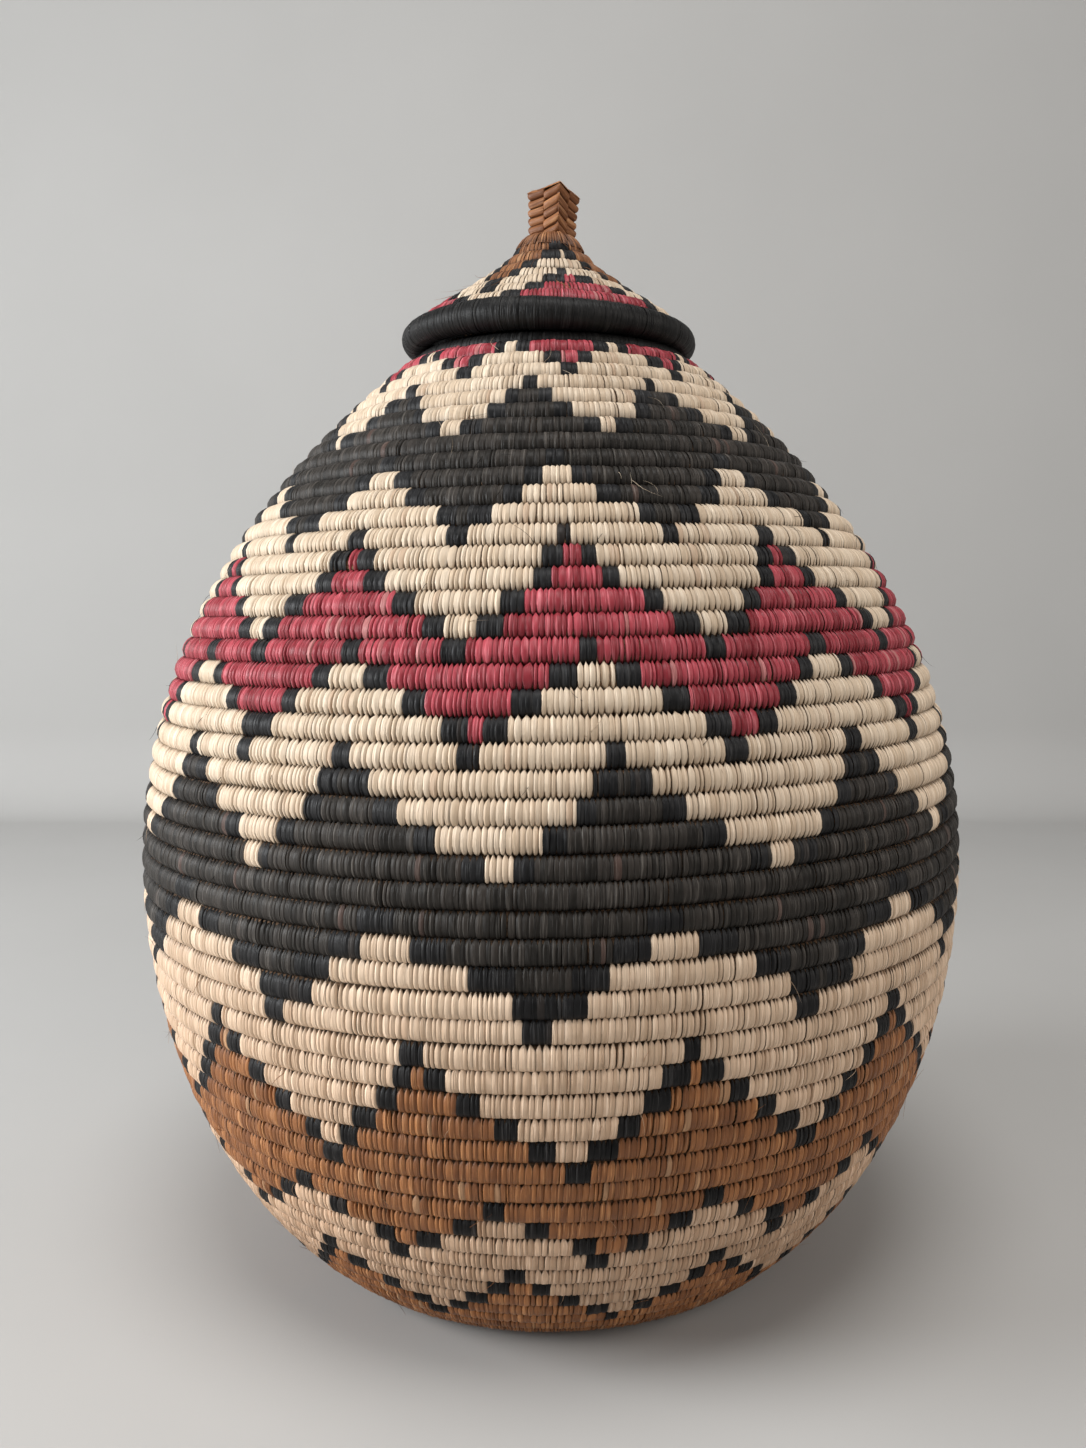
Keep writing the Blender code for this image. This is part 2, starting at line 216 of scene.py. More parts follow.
def leaf_finish(name, pale, deep, odd, fold_sheen_colour, roughness, lines, glint, gloss=0.22, edge=0.7, low=None):
    """Dyed palm leaf. odd is the colour of the few strips that took the dye differently, and the fourth colour is
    a painted sheen on the folds that stand proud. lines and glint are how much the lines along the fibre and that
    painted sheen show, and edge how dark the painted shade in the creases is. low is deep and pale of the leaf
    near the base: a warmer leaf, and for black a far darker colour that is painted shade."""
    leaf = Finish(name, Specular_IOR_Level=gloss)
    across, along, _ = leaf.parts(leaf.node("ShaderNodeUVMap", {"uv_map": "strip"}))
    tint = leaf.mark("tint")
    place = leaf.place()
    folds = leaf.noise(leaf.vector(across * 1.5, along * 0.07, tint * 91.0), 1.0, 2.0, 0.6)
    fibres = leaf.noise(leaf.vector(across * 6.0, along * 0.40, tint * 29.0), 1.0, 3.0, 0.65)
    broad = leaf.noise(leaf.vector(across * 0.8, along * 0.18, tint * 47.0), 1.0, 1.0)
    patch = leaf.noise(place, 24.0, 3.0, 0.6)
    crease = 1.0 - abs(folds - 0.5).between(0.0, 0.12)
    dye = (tint * 0.60 + broad * 0.5 + patch * 0.60 - 0.40).between(0.05, 0.95)
    colour = leaf.mix(dye, deep, pale)
    # Near the base the natural leaf turns warmer and the black far darker, which is painted shade; over the foot a
    # painted shadow darkens both.
    if low:
        height = leaf.parts(place)[2]
        shadowed = tuple(BASE_SHADOW_LEVEL * x for x in low[0])
        colour = leaf.mix((1.0 - height.between(*LOW_LEAF_AND_SHADE_BAND)) * LOW_LEAF_AND_SHADE_SHARE, colour, leaf.mix(dye, *low))
        colour = leaf.mix((1.0 - height.between(*BASE_SHADOW_BAND)) * BASE_SHADOW_SHARE, colour, shadowed)
    colour = leaf.mix(tint.between(*ODD_BAND) * ODD_SHARE, colour, odd)
    stripe = ((folds - 0.5) * 2.0 + (fibres - 0.5) * 0.5) * lines + 1.0
    colour = leaf.mix(1.0, colour, leaf.vector(stripe, stripe, stripe), "MULTIPLY")
    side, end = leaf.mark("side"), leaf.mark("end")
    # Painted sheen: the folds that stand proud are lightened towards the fourth colour.
    lit = folds.between(0.52, 0.72) * (tint * 0.5 + 0.5) * glint
    colour = leaf.mix(lit, colour, fold_sheen_colour)
    # Painted shade: the creases, the sides and the ends of each strip are darkened towards the deep colour.
    shade = tuple(GROOVE_SHADE * x for x in deep)
    colour = leaf.mix(crease * (broad * 0.7) * edge, colour, shade)
    edge_and_end_shade = abs(side).between(0.72, 1.0) * 0.75 + end.between(0.30, 1.0) * 0.65
    colour = leaf.mix((edge_and_end_shade * (broad + 0.5)).between(0.0, 1.0), colour, shade)
    relief = folds * 1.1 + fibres * 0.12 - crease * 0.15
    bump = leaf.node("ShaderNodeBump", {}, {"Strength": 0.8, "Distance": BUMP_METRES, "Height": relief})
    rough = (fibres - 0.5) * 0.25 + roughness
    return leaf.finish(Base_Color=colour, Roughness=rough, Normal=bump)


print("the low leaf is used below", LOW_LEAF_AND_SHADE_BAND[1], "m, and the scuffed leaf below", BASE_SHADOW_BAND[1], "m")

# %% [markdown]
# The body has five leaves. Each is written as its pale, deep and odd colours and the colour of its painted sheen,
# and then its roughness, its lines and its glint. Three more are the nearly black leaf that binds the rim and the
# ring, and the browner ones of the cone and the knob.

# %% Leaves
LEAVES = {
    "natural": leaf_finish("natural_leaf", (0.765, 0.635, 0.490), (0.585, 0.450, 0.318), (0.46, 0.30, 0.19),
                           (0.86, 0.77, 0.65), 0.46, 0.34, 0.36, gloss=0.30,
                           low=((0.47, 0.280, 0.165), (0.86, 0.570, 0.375))),
    # Its low colours are far darker: painted shade towards the base.
    "black": leaf_finish("black_leaf", (0.0235, 0.0235, 0.0250), (0.0085, 0.0085, 0.0092), (0.034, 0.027, 0.023),
                         (0.110, 0.107, 0.104), 0.46, 0.75, 0.30, gloss=0.16,
                         low=((0.0015, 0.0012, 0.0011), (0.0075, 0.0055, 0.0050))),
    "dark": leaf_finish("dark_leaf", (0.050, 0.042, 0.036), (0.013, 0.011, 0.009), (0.105, 0.062, 0.050),
                        (0.20, 0.185, 0.165), 0.48, 0.75, 0.32, gloss=0.18),
    "red": leaf_finish("red_leaf", (0.52, 0.076, 0.100), (0.21, 0.015, 0.023), (0.44, 0.21, 0.19),
                       (0.74, 0.31, 0.34), 0.44, 0.48, 0.55, gloss=0.26),
    "rust": leaf_finish("rust_leaf", (0.42, 0.172, 0.060), (0.19, 0.070, 0.024), (0.42, 0.26, 0.15),
                        (0.62, 0.36, 0.18), 0.44, 0.42, 0.45, gloss=0.28),
}
RING_LEAF = leaf_finish("ring_leaf", (0.0095, 0.0090, 0.0088), (0.0035, 0.0034, 0.0034), (0.020, 0.017, 0.015),
                        (0.07, 0.066, 0.062), 0.52, 0.70, 0.22)
LID_LEAF = leaf_finish("lid_leaf", (0.37, 0.165, 0.070), (0.16, 0.060, 0.024), (0.42, 0.24, 0.13),
                       (0.60, 0.35, 0.18), 0.48, 0.45, 0.5, gloss=0.25, edge=0.8)
KNOB_LEAF = leaf_finish("knob_leaf", (0.37, 0.155, 0.060), (0.155, 0.054, 0.019), (0.40, 0.21, 0.11),
                        (0.58, 0.33, 0.16), 0.48, 0.26, 0.45, gloss=0.28, edge=0.4)

# %% [markdown]
# ## The grass inside the coil
# Between the stitches the grass shows as dark lines that run along the coil. It is seen only in the deep gaps, so
# it is coloured a dark brown, far darker than dry grass, as painted shade for those gaps. It needs that depth
# more than detail.

# %% Grass finish
# Painted shade: the grass is far darker than dry grass, for the shadow in the gaps.
SHADED_GRASS_DARK, SHADED_GRASS_PALE = (0.050, 0.029, 0.016), (0.24, 0.135, 0.070)


def grass_finish():
    grass = Finish("grass_stalk", Roughness=0.85)
    across, along, _ = grass.parts(grass.node("ShaderNodeUVMap", {"uv_map": "strip"}))
    stalks = grass.noise(grass.vector(across * 3.0, along * 0.05, 0.0), 1.0, 2.0)
    colour = grass.mix(stalks.between(0.3, 0.7), SHADED_GRASS_DARK, SHADED_GRASS_PALE)
    bump = grass.node("ShaderNodeBump", {}, {"Strength": 0.8, "Distance": 0.0004, "Height": stalks})
    return grass.finish(Base_Color=colour, Normal=bump)


GRASS = grass_finish()
print("finish:", GRASS.name)

# %% [markdown]
# ## Outlines
# A coil follows a line of radius and height. The body's line is flat under the base, bends round the foot,
# and is two cubic curves that meet at the belly. These are the model's own values, so a stitch lands on it.

# %% The two outlines
FLAT_RADIUS, BELLY_RADIUS, BELLY_HEIGHT = 0.0988, 0.1792, 0.1772
MOUTH_RADIUS, MOUTH_HEIGHT = 0.0617, 0.3945
FOOT_BEND_RADIUS, WALL_RISE_DEG, MOUTH_SLOPE_DEG = 0.022, 41.6, 38.8
LOWER_FULLNESS, UPPER_FULLNESS = 0.619, 0.664
COIL_PITCH, COIL_DEPTH, KNOT_RADIUS = 0.0090, 0.0085, 0.0085
RIM_THICKNESS, RING_THICKNESS, RING_RADIUS = 0.0075, 0.0126, 0.0602
LID_PITCH, LID_DEPTH = 0.0078, 0.0065
CONE_SEAT_DEG, CONE_TIP_RADIUS, CONE_RISE = 127.0, 0.0098, 0.0358
CONE_FOOT_DEG, CONE_TIP_DEG, CONE_FULLNESS = 34.5, 60.0, 0.35
GAP = 0.0003


def way(degrees):
    return np.array([math.cos(math.radians(degrees)), math.sin(math.radians(degrees))])


def bezier(start, start_handle, end_handle, end, steps=80):
    t = np.linspace(0, 1, steps + 1)[:, None]
    return (start * (1 - t) ** 3 + start_handle * 3 * t * (1 - t) ** 2 + end_handle * 3 * t * t * (1 - t)
            + end * t ** 3)


def bulge(start, end, corner, fullness):
    """A cubic curve whose handles reach towards one corner."""
    return bezier(start, start + (corner - start) * fullness, end + (corner - end) * fullness, end)


class Outline:
    """A line of radius and height, read by its length. side is 1 where the outside lies to its left."""

    def __init__(self, points, side):
        keep = np.r_[True, np.linalg.norm(np.diff(points, axis=0), axis=1) > 1e-7]
        self.points = points[keep]
        self.marks = np.r_[0.0, np.cumsum(np.linalg.norm(np.diff(self.points, axis=0), axis=1))]
        forward = np.gradient(self.points, self.marks, axis=0)
        self.outside = side * np.stack([-forward[:, 1], forward[:, 0]], axis=1)

    def at(self, along):
        """Radius and height, and the direction to the outside, at lengths along the line."""
        point = [np.interp(along, self.marks, self.points[:, i]) for i in (0, 1)]
        outside = [np.interp(along, self.marks, self.outside[:, i]) for i in (0, 1)]
        size = np.hypot(*outside)
        return point[0], point[1], outside[0] / size, outside[1] / size


level = COIL_DEPTH / 2
bend = np.array([FLAT_RADIUS, level + FOOT_BEND_RADIUS])
foot_turn = np.array([bend + way(a) * FOOT_BEND_RADIUS for a in np.linspace(-90, WALL_RISE_DEG - 90, 12)])
foot, belly = foot_turn[-1], np.array([BELLY_RADIUS, BELLY_HEIGHT])
mouth = np.array([MOUTH_RADIUS, MOUTH_HEIGHT])
rise, slope = way(WALL_RISE_DEG), way(-MOUTH_SLOPE_DEG)
low_corner = foot + rise * (BELLY_RADIUS - foot[0]) / rise[0]
high_corner = mouth + slope * (BELLY_RADIUS - mouth[0]) / slope[0]
flat = np.stack([np.linspace(0, FLAT_RADIUS, 30), np.full(30, level)], axis=1)
wall = [bulge(foot, belly, low_corner, LOWER_FULLNESS), bulge(belly, mouth, high_corner, UPPER_FULLNESS)]
body_line = Outline(np.concatenate([flat, foot_turn, *wall]), side=-1)

rim = mouth + way(180 - MOUTH_SLOPE_DEG) * (RIM_THICKNESS / 2 + GAP)
seat = (RIM_THICKNESS + RING_THICKNESS) / 2 + GAP
ring = np.array([RING_RADIUS, rim[1] + math.sqrt(seat ** 2 - (rim[0] - RING_RADIUS) ** 2)])
cone_foot = ring + way(CONE_SEAT_DEG) * (RING_THICKNESS / 2 + LID_DEPTH / 2 + GAP)
cone_tip = np.array([CONE_TIP_RADIUS, cone_foot[1] + CONE_RISE])
reach = (cone_foot[0] - cone_tip[0]) * CONE_FULLNESS
cone_line = Outline(bezier(cone_tip, cone_tip + way(-CONE_TIP_DEG) * reach,
                           cone_foot + way(180 - CONE_FOOT_DEG) * reach, cone_foot), side=1)
print(f"body line {body_line.marks[-1]:.4f} m long, cone line {cone_line.marks[-1]:.4f} m")

# %% [markdown]
# ## The winding
# Along a spiral, one number says where a stitch is: how many turns the coil has made. Whole numbers are at the
# front. The turn lies between the line's length one turn earlier and its length now, which is what makes it
# climb. Hand work isn't even, so slow waves move the coil a fraction of a millimetre. The lid isn't level
# either, and what is wound on it is laid down the way the lid lies.

# %% Winding
LID_TILT_DEG, LID_SHIFT = 0.75, (-0.0010, 0.0003)
BODY_TILT, WAVE_ALONG, WAVE_OUT = 0.0016, 0.00022, 0.00018
CONE_PAST_TIP, CONE_PAST_EDGE, CONE_ROW = 0.0009, 0.0041, 0.0089


def together(*coordinates):
    """One array of points from arrays of their coordinates, which spread over each other."""
    return np.stack(np.broadcast_arrays(*coordinates), axis=-1)


class Winding:
    """A coil wound along an outline: from turns made, and a place on its section, to a point."""

    def __init__(self, line, start, end, pitch, depth, turning=1, tilt=0.0):
        self.line, self.start, self.depth, self.turning, self.tilt = line, start, depth, turning, tilt
        self.turns = round((end - start) / pitch)
        self.pitch = (end - start) / self.turns
        self.span = end - start

    def azimuth(self, turn):
        """Degrees from the front, to the right, from -180 to 180."""
        return (turn - np.round(turn)) * 360 * self.turning

    def radius(self, turn):
        return self.line.at(self.start + self.pitch * np.clip(turn - 0.5, 0.3, self.turns))[0]

    def thickness(self, turn):
        """1 on a full turn, and less where the coil tapers at its ends."""
        return np.clip(turn, 0, self.turns) - np.clip(turn - 1, 0, self.turns)

    def points(self, turn, across, proud):
        """Points at these turns. across is -1 to 1 from the groove below to the groove above, and proud is
        how far outside the line."""
        low = self.start + self.pitch * np.clip(turn - 1, 0, self.turns)
        high = self.start + self.pitch * np.clip(turn, 0, self.turns)
        share = ((low + high) / 2 - self.start) / self.span
        middle = np.sin(np.pi * np.clip(share, 0, 1)) ** 2
        around = 2 * math.pi * turn
        lift = self.tilt * np.sin(around) * middle * self.turning
        lift = lift + WAVE_ALONG * np.sin(around * 2.37 + 1.3 * turn) * middle
        along = (low + high) / 2 + across * (high - low) / 2 + lift
        radius, height, out, up = self.line.at(along)
        proud = proud + WAVE_OUT * np.sin(around * 3.13 + 2.1 * turn) * middle
        radius, height = radius + out * proud, height + up * proud
        angle = -math.pi / 2 + around * self.turning
        return together(radius * np.cos(angle), radius * np.sin(angle), height)

    def place(self, turn, across, proud):
        points = self.points(turn, across, proud)
        return settle(points) if self.turning < 0 else points


def settle(points):
    """Lays a point of the lid as the lid lies: turned down at the right and a little to the left."""
    x, y, z = np.moveaxis(points, -1, 0)
    tilt, height = math.radians(LID_TILT_DEG), z - ring[1]
    return together(x * math.cos(tilt) + height * math.sin(tilt) + LID_SHIFT[0], y,
                    ring[1] + height * math.cos(tilt) - x * math.sin(tilt) + LID_SHIFT[1])


body = Winding(body_line, KNOT_RADIUS, body_line.marks[-1], COIL_PITCH, COIL_DEPTH, tilt=BODY_TILT)
past_tip, past_edge = way(180 - CONE_TIP_DEG) * CONE_PAST_TIP, way(-CONE_FOOT_DEG) * CONE_PAST_EDGE
visible_cone = Outline(np.concatenate([cone_line.points[:1] + past_tip, cone_line.points,
                                       cone_line.points[-1:] + past_edge]), side=1)
cone = Winding(visible_cone, 0.0, visible_cone.marks[-1], CONE_ROW, LID_DEPTH, turning=-1)
print(f"body: {body.turns} turns of {body.pitch * 1000:.2f} mm; cone: {cone.turns} of {cone.pitch * 1000:.2f} mm")

# %% [markdown]
# ## Where the stitches go
# A new stitch goes between two stitches of the turn below, so their ends interlock like teeth. As the basket
# widens, the weaver adds a stitch now and then to keep the strips one width. This loop does the same: it takes
# four gaps of the turn below and fills them with four stitches, or with five or three when the count has
# drifted a whole stitch from the even one.

# %% Stitch places
STITCH_WIDTH, CONE_STITCH = 0.0020, 0.00135
STITCH_JITTER = 0.09


def stitch_turns(winding, first, last, width, seed):
    """The turn numbers of all stitches, in order."""
    random = np.random.default_rng(seed)
    turns = [first]
    while turns[-1] < first + 1:
        turns.append(turns[-1] + width / (2 * math.pi * float(winding.radius(turns[-1]))))
    begin, drift, gaps = 0, 0.0, 4
    while turns[-1] < last:
        below = np.array(turns[begin:begin + gaps + 1]) + 1
        spacing = (below[-1] - below[0]) / gaps * 2 * math.pi * float(winding.radius(below[0]))
        drift += gaps * (spacing / width - 1)
        extra = 1 if drift > 1 else -1 if drift < -1 else 0
        drift -= extra
        count = gaps + extra
        steps = np.interp((np.arange(count) + 0.5) * gaps / count, np.arange(gaps + 1), below)
        steps += random.uniform(-STITCH_JITTER, STITCH_JITTER, count) * (below[-1] - below[0]) / gaps
        turns.extend(steps.tolist())
        begin += gaps
    turns = np.sort(np.array(turns))
    return turns[turns < last]


body_stitches = stitch_turns(body, 0.35, 61.9, STITCH_WIDTH, seed=5)
cone_stitches = stitch_turns(cone, 0.3, cone.turns + 0.9, CONE_STITCH, seed=8)
print(len(body_stitches), "stitches on the body,", len(cone_stitches), "on the cone")

# %% [markdown]
# ## The pattern
# The weaver counts stitches to make bands of stepped teeth. A family of teeth is written here as its first
# row, how far it reaches in each row, its leaf and the leaf of its outline, how wide the outline is, and the
# azimuths of its teeth. Rows are numbered from the mouth down, and widths and azimuths are in degrees. The
# teeth at the front stand where the photograph shows them, a hand's irregularity included, and the others are
# spread evenly round the back, up to the count.

# %% Teeth
TIP_SHARE = 0.45


def around(front, count):
    """Azimuths of count teeth: these at the front, and the rest evenly spread over what is left."""
    left = count - len(front)
    gap = (360 - (front[-1] - front[0])) / (left + 1)
    return np.array(list(front) + [front[-1] + gap * (i + 1) for i in range(left)])


def apart(azimuth, centres):
    """How far each azimuth is from the nearest centre, in degrees."""
    away = (azimuth[:, None] - centres[None, :] + 180) % 360 - 180
    return np.abs(away).min(axis=1)


def sew_teeth(leaf_of, rows, azimuth, first_row, halves, leaf, outline, outline_width, lean, front, count):
    """Writes a family of teeth into the list of leaves. A half of 0 is a tip of the outline's leaf alone, and
    lean is how far each row stands to the right of the one above."""
    for number, half in enumerate(halves):
        here = rows == first_row + number
        away = apart(azimuth[here] - lean * number, around(front, count))
        outline_reach = half + outline_width if half else outline_width * TIP_SHARE
        names = leaf_of[here]
        names[away < outline_reach] = outline
        if half:
            names[away < half] = leaf
        leaf_of[here] = names


BANDS = [(0, 1, "red"), (8, 12, "dark"), (18, 21, "red"), (26, 31, "dark"), (38, 42, "rust"), (47, 62, "rust")]
SMALL_TEETH = ([-34.6, -5.2, 24.6], 12)
TEETH = [  # first row, half of the width in each row, leaf, the outline's leaf and width, lean, front and count
    (1, [1.6], "natural", "black", 4.2, 0.0, [-46, -13, 21, 55], 11),
    (2, [2.3], "red", "black", 4.9, 0.0, [-61, -28.5, 5.3, 39], 11),
    (3, [0], "red", "black", 4.6, 0.0, [-57, -24.7, 5.1, 38.9], 11),
    (4, [0, 2.0, 5.0, 10.4], "dark", "black", 3.6, 0.6, [-69, -38.0, -5.6, 25.6], 11),
    (9, [0, 2.4, 5.7, 11.0], "natural", "black", 3.2, 0.6, [-61, -30.2, 0.2, 32.2, 64], 11),
    (13, [0], "dark", "black", 2.9, 0.0, [-44, -13.6, 17.6, 49], 11),
    (13, [0, 1.0, 2.9, 7.4, 11.0], "red", "black", 2.8, 0.7, [-60.5, -29.9, 2.0, 33.8, 68], 11),
    (18, [0], "natural", "black", 3.2, 0.0, [-69, -40.7, -11.4, 20.1, 51.6], 11),
    (18, [0, 2.4, 7.1, 11.2], "natural", "black", 2.7, 0.6, [-52.8, -25.2, 4.6, 36.0], 12),
    (22, [0], "red", "black", 2.6, 0.0, [-38.6, -9.0, 21.0, 52.4], 12),
    (22, [0, 0.8, 3.4, 7.2, 11.4], "dark", "black", 2.4, 0.8, [-49.5, -23.9, 6.7, 38.2], 12),
    (26, [1.4], "natural", "dark", 0.5, 0.0, [-63, -35.1, -5.2, 25.3, 54.8], 12),
    (28, [0, 2.6, 8.0, 11.3], "natural", "black", 4.2, 1.1, [-48.5, -18.4, 11.8, 43.5], 12),
    (32, [0], "dark", "black", 3.4, 0.0, [-32.4, -1.6, 29.0], 12),
    (33, [0, 0.7, 3.4, 6.9, 10.1], "rust", "black", 2.7, 0.6, [-42.9, -14.9, 15.0, 44.6], 12),
    (38, [0], "natural", "black", 3.1, 0.0, [-26.8, 3.0, 32.3], 12),
    (40, [0, 3.0, 8.6], "natural", "black", 3.0, 0.5, [-33.6, -6.9, 20.4, 47.6], 13),
    (43, [0], "rust", "black", 3.4, 0.0, [-21, 6.0, 33.2], 13),
    (44, [0, 1.6, 5.5, 9.8], "rust", "black", 3.2, 0.5, *SMALL_TEETH),
    (48, [0], "rust", "black", 3.6, 0.0, [-19.8, 10.2, 40.2], 12),
]


def body_leaves(turns):
    """The leaf of each stitch of the body: natural, then the bands of other leaf, then the teeth over both."""
    rows = body.turns + 1 - np.round(turns).astype(int)
    azimuth = body.azimuth(turns)
    leaf_of = np.full(len(turns), "natural", dtype=object)
    for low, high, leaf in BANDS:
        leaf_of[(rows >= low) & (rows <= high)] = leaf
    for family in TEETH:
        sew_teeth(leaf_of, rows, azimuth, *family)
    # The small teeth stand alone, with natural leaf between them.
    between = (rows >= 43) & (rows <= 47) & (leaf_of == "rust")
    inside = apart(azimuth, around(*SMALL_TEETH) + 1.5) < np.interp(rows, [44, 47], [1.6, 10.2])
    leaf_of[between & ~inside] = "natural"
    return leaf_of


body_leaf = body_leaves(body_stitches)
print({leaf: int((body_leaf == leaf).sum()) for leaf in LEAVES})

# %% [markdown]
# The lid has four wedges of natural leaf, each with a red one inside, on rust brown leaf at the top. Its rows
# are numbered from the tip down, and each is written as the middle of the wedge and how far its leaves reach.
# A wedge has a quarter of the cone, so a reach of 45 degrees goes all the way to the next one.

# %% Lid pattern
WHOLE_REACH = 45.0
LID_ROWS = {  # row: middle, and the reach of red, of black, of natural and of black again, in degrees
    1: (18.0, 0.0, 0.0, 0.0, 17.0),
    2: (14.0, 0.0, 0.0, 3.5, 21.5),
    3: (9.0, 0.0, 0.0, 21.5, 31.0),
    4: (9.5, 0.0, 3.7, 30.0, 38.0),
    5: (11.5, 4.0, 14.5, 39.0, 45.0),
    6: (15.0, 17.5, 26.5, 41.0, 45.0),
    7: (16.8, 29.3, 37.0, 45.0, 45.0),
}


def cone_leaves(turns):
    """The leaf of each stitch of the cone."""
    rows = np.clip(np.round(turns), 1, 7).astype(int)
    azimuth = cone.azimuth(turns)
    leaf_of = np.full(len(turns), "rust", dtype=object)
    for row, (middle, *reaches) in LID_ROWS.items():
        away = np.where(rows == row, apart(azimuth, middle + 90.0 * np.arange(4)), 1000.0)
        for reach, leaf in zip(reversed(reaches), ("black", "natural", "black", "red")):
            leaf_of[away < reach + (reach == WHOLE_REACH)] = leaf
    return leaf_of


cone_leaf = cone_leaves(cone_stitches)
print({leaf: int((cone_leaf == leaf).sum()) for leaf in LEAVES})

# %% [markdown]
# ## One stitch
# A stitch is a small sheet of points over the outer half of the coil, and another over the inner half. Seen
# flat it is a blade: wide in the middle, with a sharp tip above that slips between two stitches of the next
# turn, and a blunter end below. Across, it is crowned. All stitches of one leaf in one node are computed
# together as arrays, because twenty thousand separate objects would be slow. Their map has a cell for each
# stitch, for baking.

# %% Sheets of points
# tint is a stitch's own number; side and end, across and along the strip, set where the leaf finish paints shade.
MARKS = ("tint", "side", "end")
CELL_SHAPE = 0.28


def sheet_object(name, finish, *sheets):
    """One mesh from sheets. A sheet is its points, shaped (strips, rows, columns, 3), and then its places on the
    bake map and on the strip and its marks, of any shape that spreads over the points."""
    points, corners, first = [], [], 0
    maps, marks = {"OFBake": [], "strip": []}, {label: [] for label in MARKS}
    for grid, on_bake_map, on_strip, *values in sheets:
        count, rows, columns, _ = grid.shape
        numbers = first + np.arange(count * rows * columns).reshape(count, rows, columns)
        quad = np.stack([numbers[:, :-1, :-1], numbers[:, :-1, 1:], numbers[:, 1:, 1:], numbers[:, 1:, :-1]], -1)
        points.append(grid.reshape(-1, 3))
        corners.append(quad.reshape(-1, 4))
        for layer, pair in zip(maps.values(), (on_bake_map, on_strip)):
            layer.append(np.broadcast_to(together(*pair), grid.shape[:3] + (2,)).reshape(-1, 2))
        for layer, value in zip(marks.values(), values):
            layer.append(np.broadcast_to(value, grid.shape[:3]).ravel())
        first += count * rows * columns
    points, corners = np.concatenate(points), np.concatenate(corners)
    mesh = bpy.data.meshes.new(name)
    mesh.vertices.add(len(points))
    mesh.vertices.foreach_set("co", points.astype(np.float32).ravel())
    mesh.loops.add(corners.size)
    mesh.loops.foreach_set("vertex_index", corners.astype(np.int32).ravel())
    mesh.polygons.add(len(corners))
    mesh.polygons.foreach_set("loop_start", np.arange(0, corners.size, 4, dtype=np.int32))
    mesh.update(calc_edges=True)
    for label, layer in maps.items():
        mesh.uv_layers.new(name=label).data.foreach_set("uv", np.concatenate(layer)[corners.ravel()].ravel())
    for label, layer in marks.items():
        if layer:
            values = np.concatenate(layer).astype(np.float32)
            mesh.attributes.new(label, "FLOAT", "POINT").data.foreach_set("value", values)
    mesh.shade_smooth()
    mesh.materials.append(finish)
    made = bpy.data.objects.new(name, mesh)
    bpy.context.scene.collection.objects.link(made)
    return made


def cells(count, across, along, low=0.03, high=0.97):
    """Places on the bake map: a cell of a square for each strip, and in it the part from low to high."""
    lines = max(1, round(math.sqrt(count * CELL_SHAPE)))
    per_line = math.ceil(count / lines)
    number = np.arange(count)[:, None, None]
    u = (number % per_line + 0.06 + 0.88 * across) / per_line
    v = (number // per_line + low + (high - low) * along) / lines
    return u, v


def drawer(random, count):
    """A function that draws one number between two for each of count strips."""
    return lambda low, high: random.uniform(low, high, count)[:, None, None]


print(f"a cell is {1 / CELL_SHAPE:.1f} times as high as it is wide")

# %% [markdown]
# The shape changes over the basket. Near the mouth the ends are blunt, round the middle both ends are pointed,
# and lower down the tips are like flames over flat feet, and lean a little. These are the numbers that `style`
# mixes by row. The feet also go less deep into the groove there, and turn down later. A crown is how far the
# sides of a strip lie below its middle, in metres.

# %% Stitch style
STYLES = {  # row: tip and foot sharpness, tip and foot overlap, lean, and where the foot and the tip start
    0: (0.30, 0.25, 0.05, 0.06, 0.00, 0.50, 0.48),
    8: (0.45, 0.35, 0.08, 0.07, 0.00, 0.50, 0.48),
    12: (1.00, 0.95, 0.20, 0.12, 0.00, 0.35, 0.48),
    23: (1.00, 1.00, 0.22, 0.13, 0.02, 0.35, 0.48),
    27: (1.00, 0.45, 0.20, 0.10, 0.03, 0.50, 0.45),
    33: (0.97, 0.14, 0.20, 0.13, 0.06, 0.60, 0.48),
    36: (0.97, 0.12, 0.20, 0.13, 0.16, 0.60, 0.48),
    42: (0.97, 0.20, 0.19, 0.13, 0.16, 0.60, 0.48),
    49: (0.90, 0.50, 0.14, 0.08, 0.05, 0.50, 0.46),
    62: (0.50, 0.50, 0.06, 0.05, 0.00, 0.50, 0.48),
    70: (0.00, 0.95, 0.05, 0.12, 0.00, 0.05, 0.60),
}
COLLAR_STYLE_ROW, KNOT_STYLE_ROW, CONE_STYLE_ROW = 12.0, 60.0, 70.0


def style(rows):
    """The seven numbers for each stitch."""
    keys = sorted(STYLES)
    return [np.interp(rows, keys, [STYLES[key][i] for key in keys]) for i in range(7)]


FOOT_ROWS, FOOT_DROP, FOOT_BEND = (23, 29, 46, 53), (0.42, 0.33, 0.33, 0.44), (2.4, 3.2, 3.2, 2.3)
BUNCH_ROWS, BUNCH_SHARE, BUNCH_LENGTH, BUNCH_RISE = (12, 24), (1.0, 0.4), 0.0083, 0.00016
CONE_STRIP_SHARE = 0.84
CROWN = {"natural": 0.00056, "black": 0.00028, "dark": 0.00034, "red": 0.00054, "rust": 0.00050}
LEVELS = np.array([-1.0, -0.95, -0.85, -0.68, -0.35, 0.10, 0.45, 0.62, 0.76, 0.89, 1.0])
COLUMNS = np.array([-1.0, -0.8, -0.4, 0.0, 0.4, 0.8, 1.0])
INNER_LEVELS, INNER_COLUMNS = np.array([1.0, 0.6, 0.0, -0.6, -1.0]), np.array([-1.0, 0.0, 1.0])
print(len(LEVELS) * len(COLUMNS), "points on the outer sheet of a stitch")

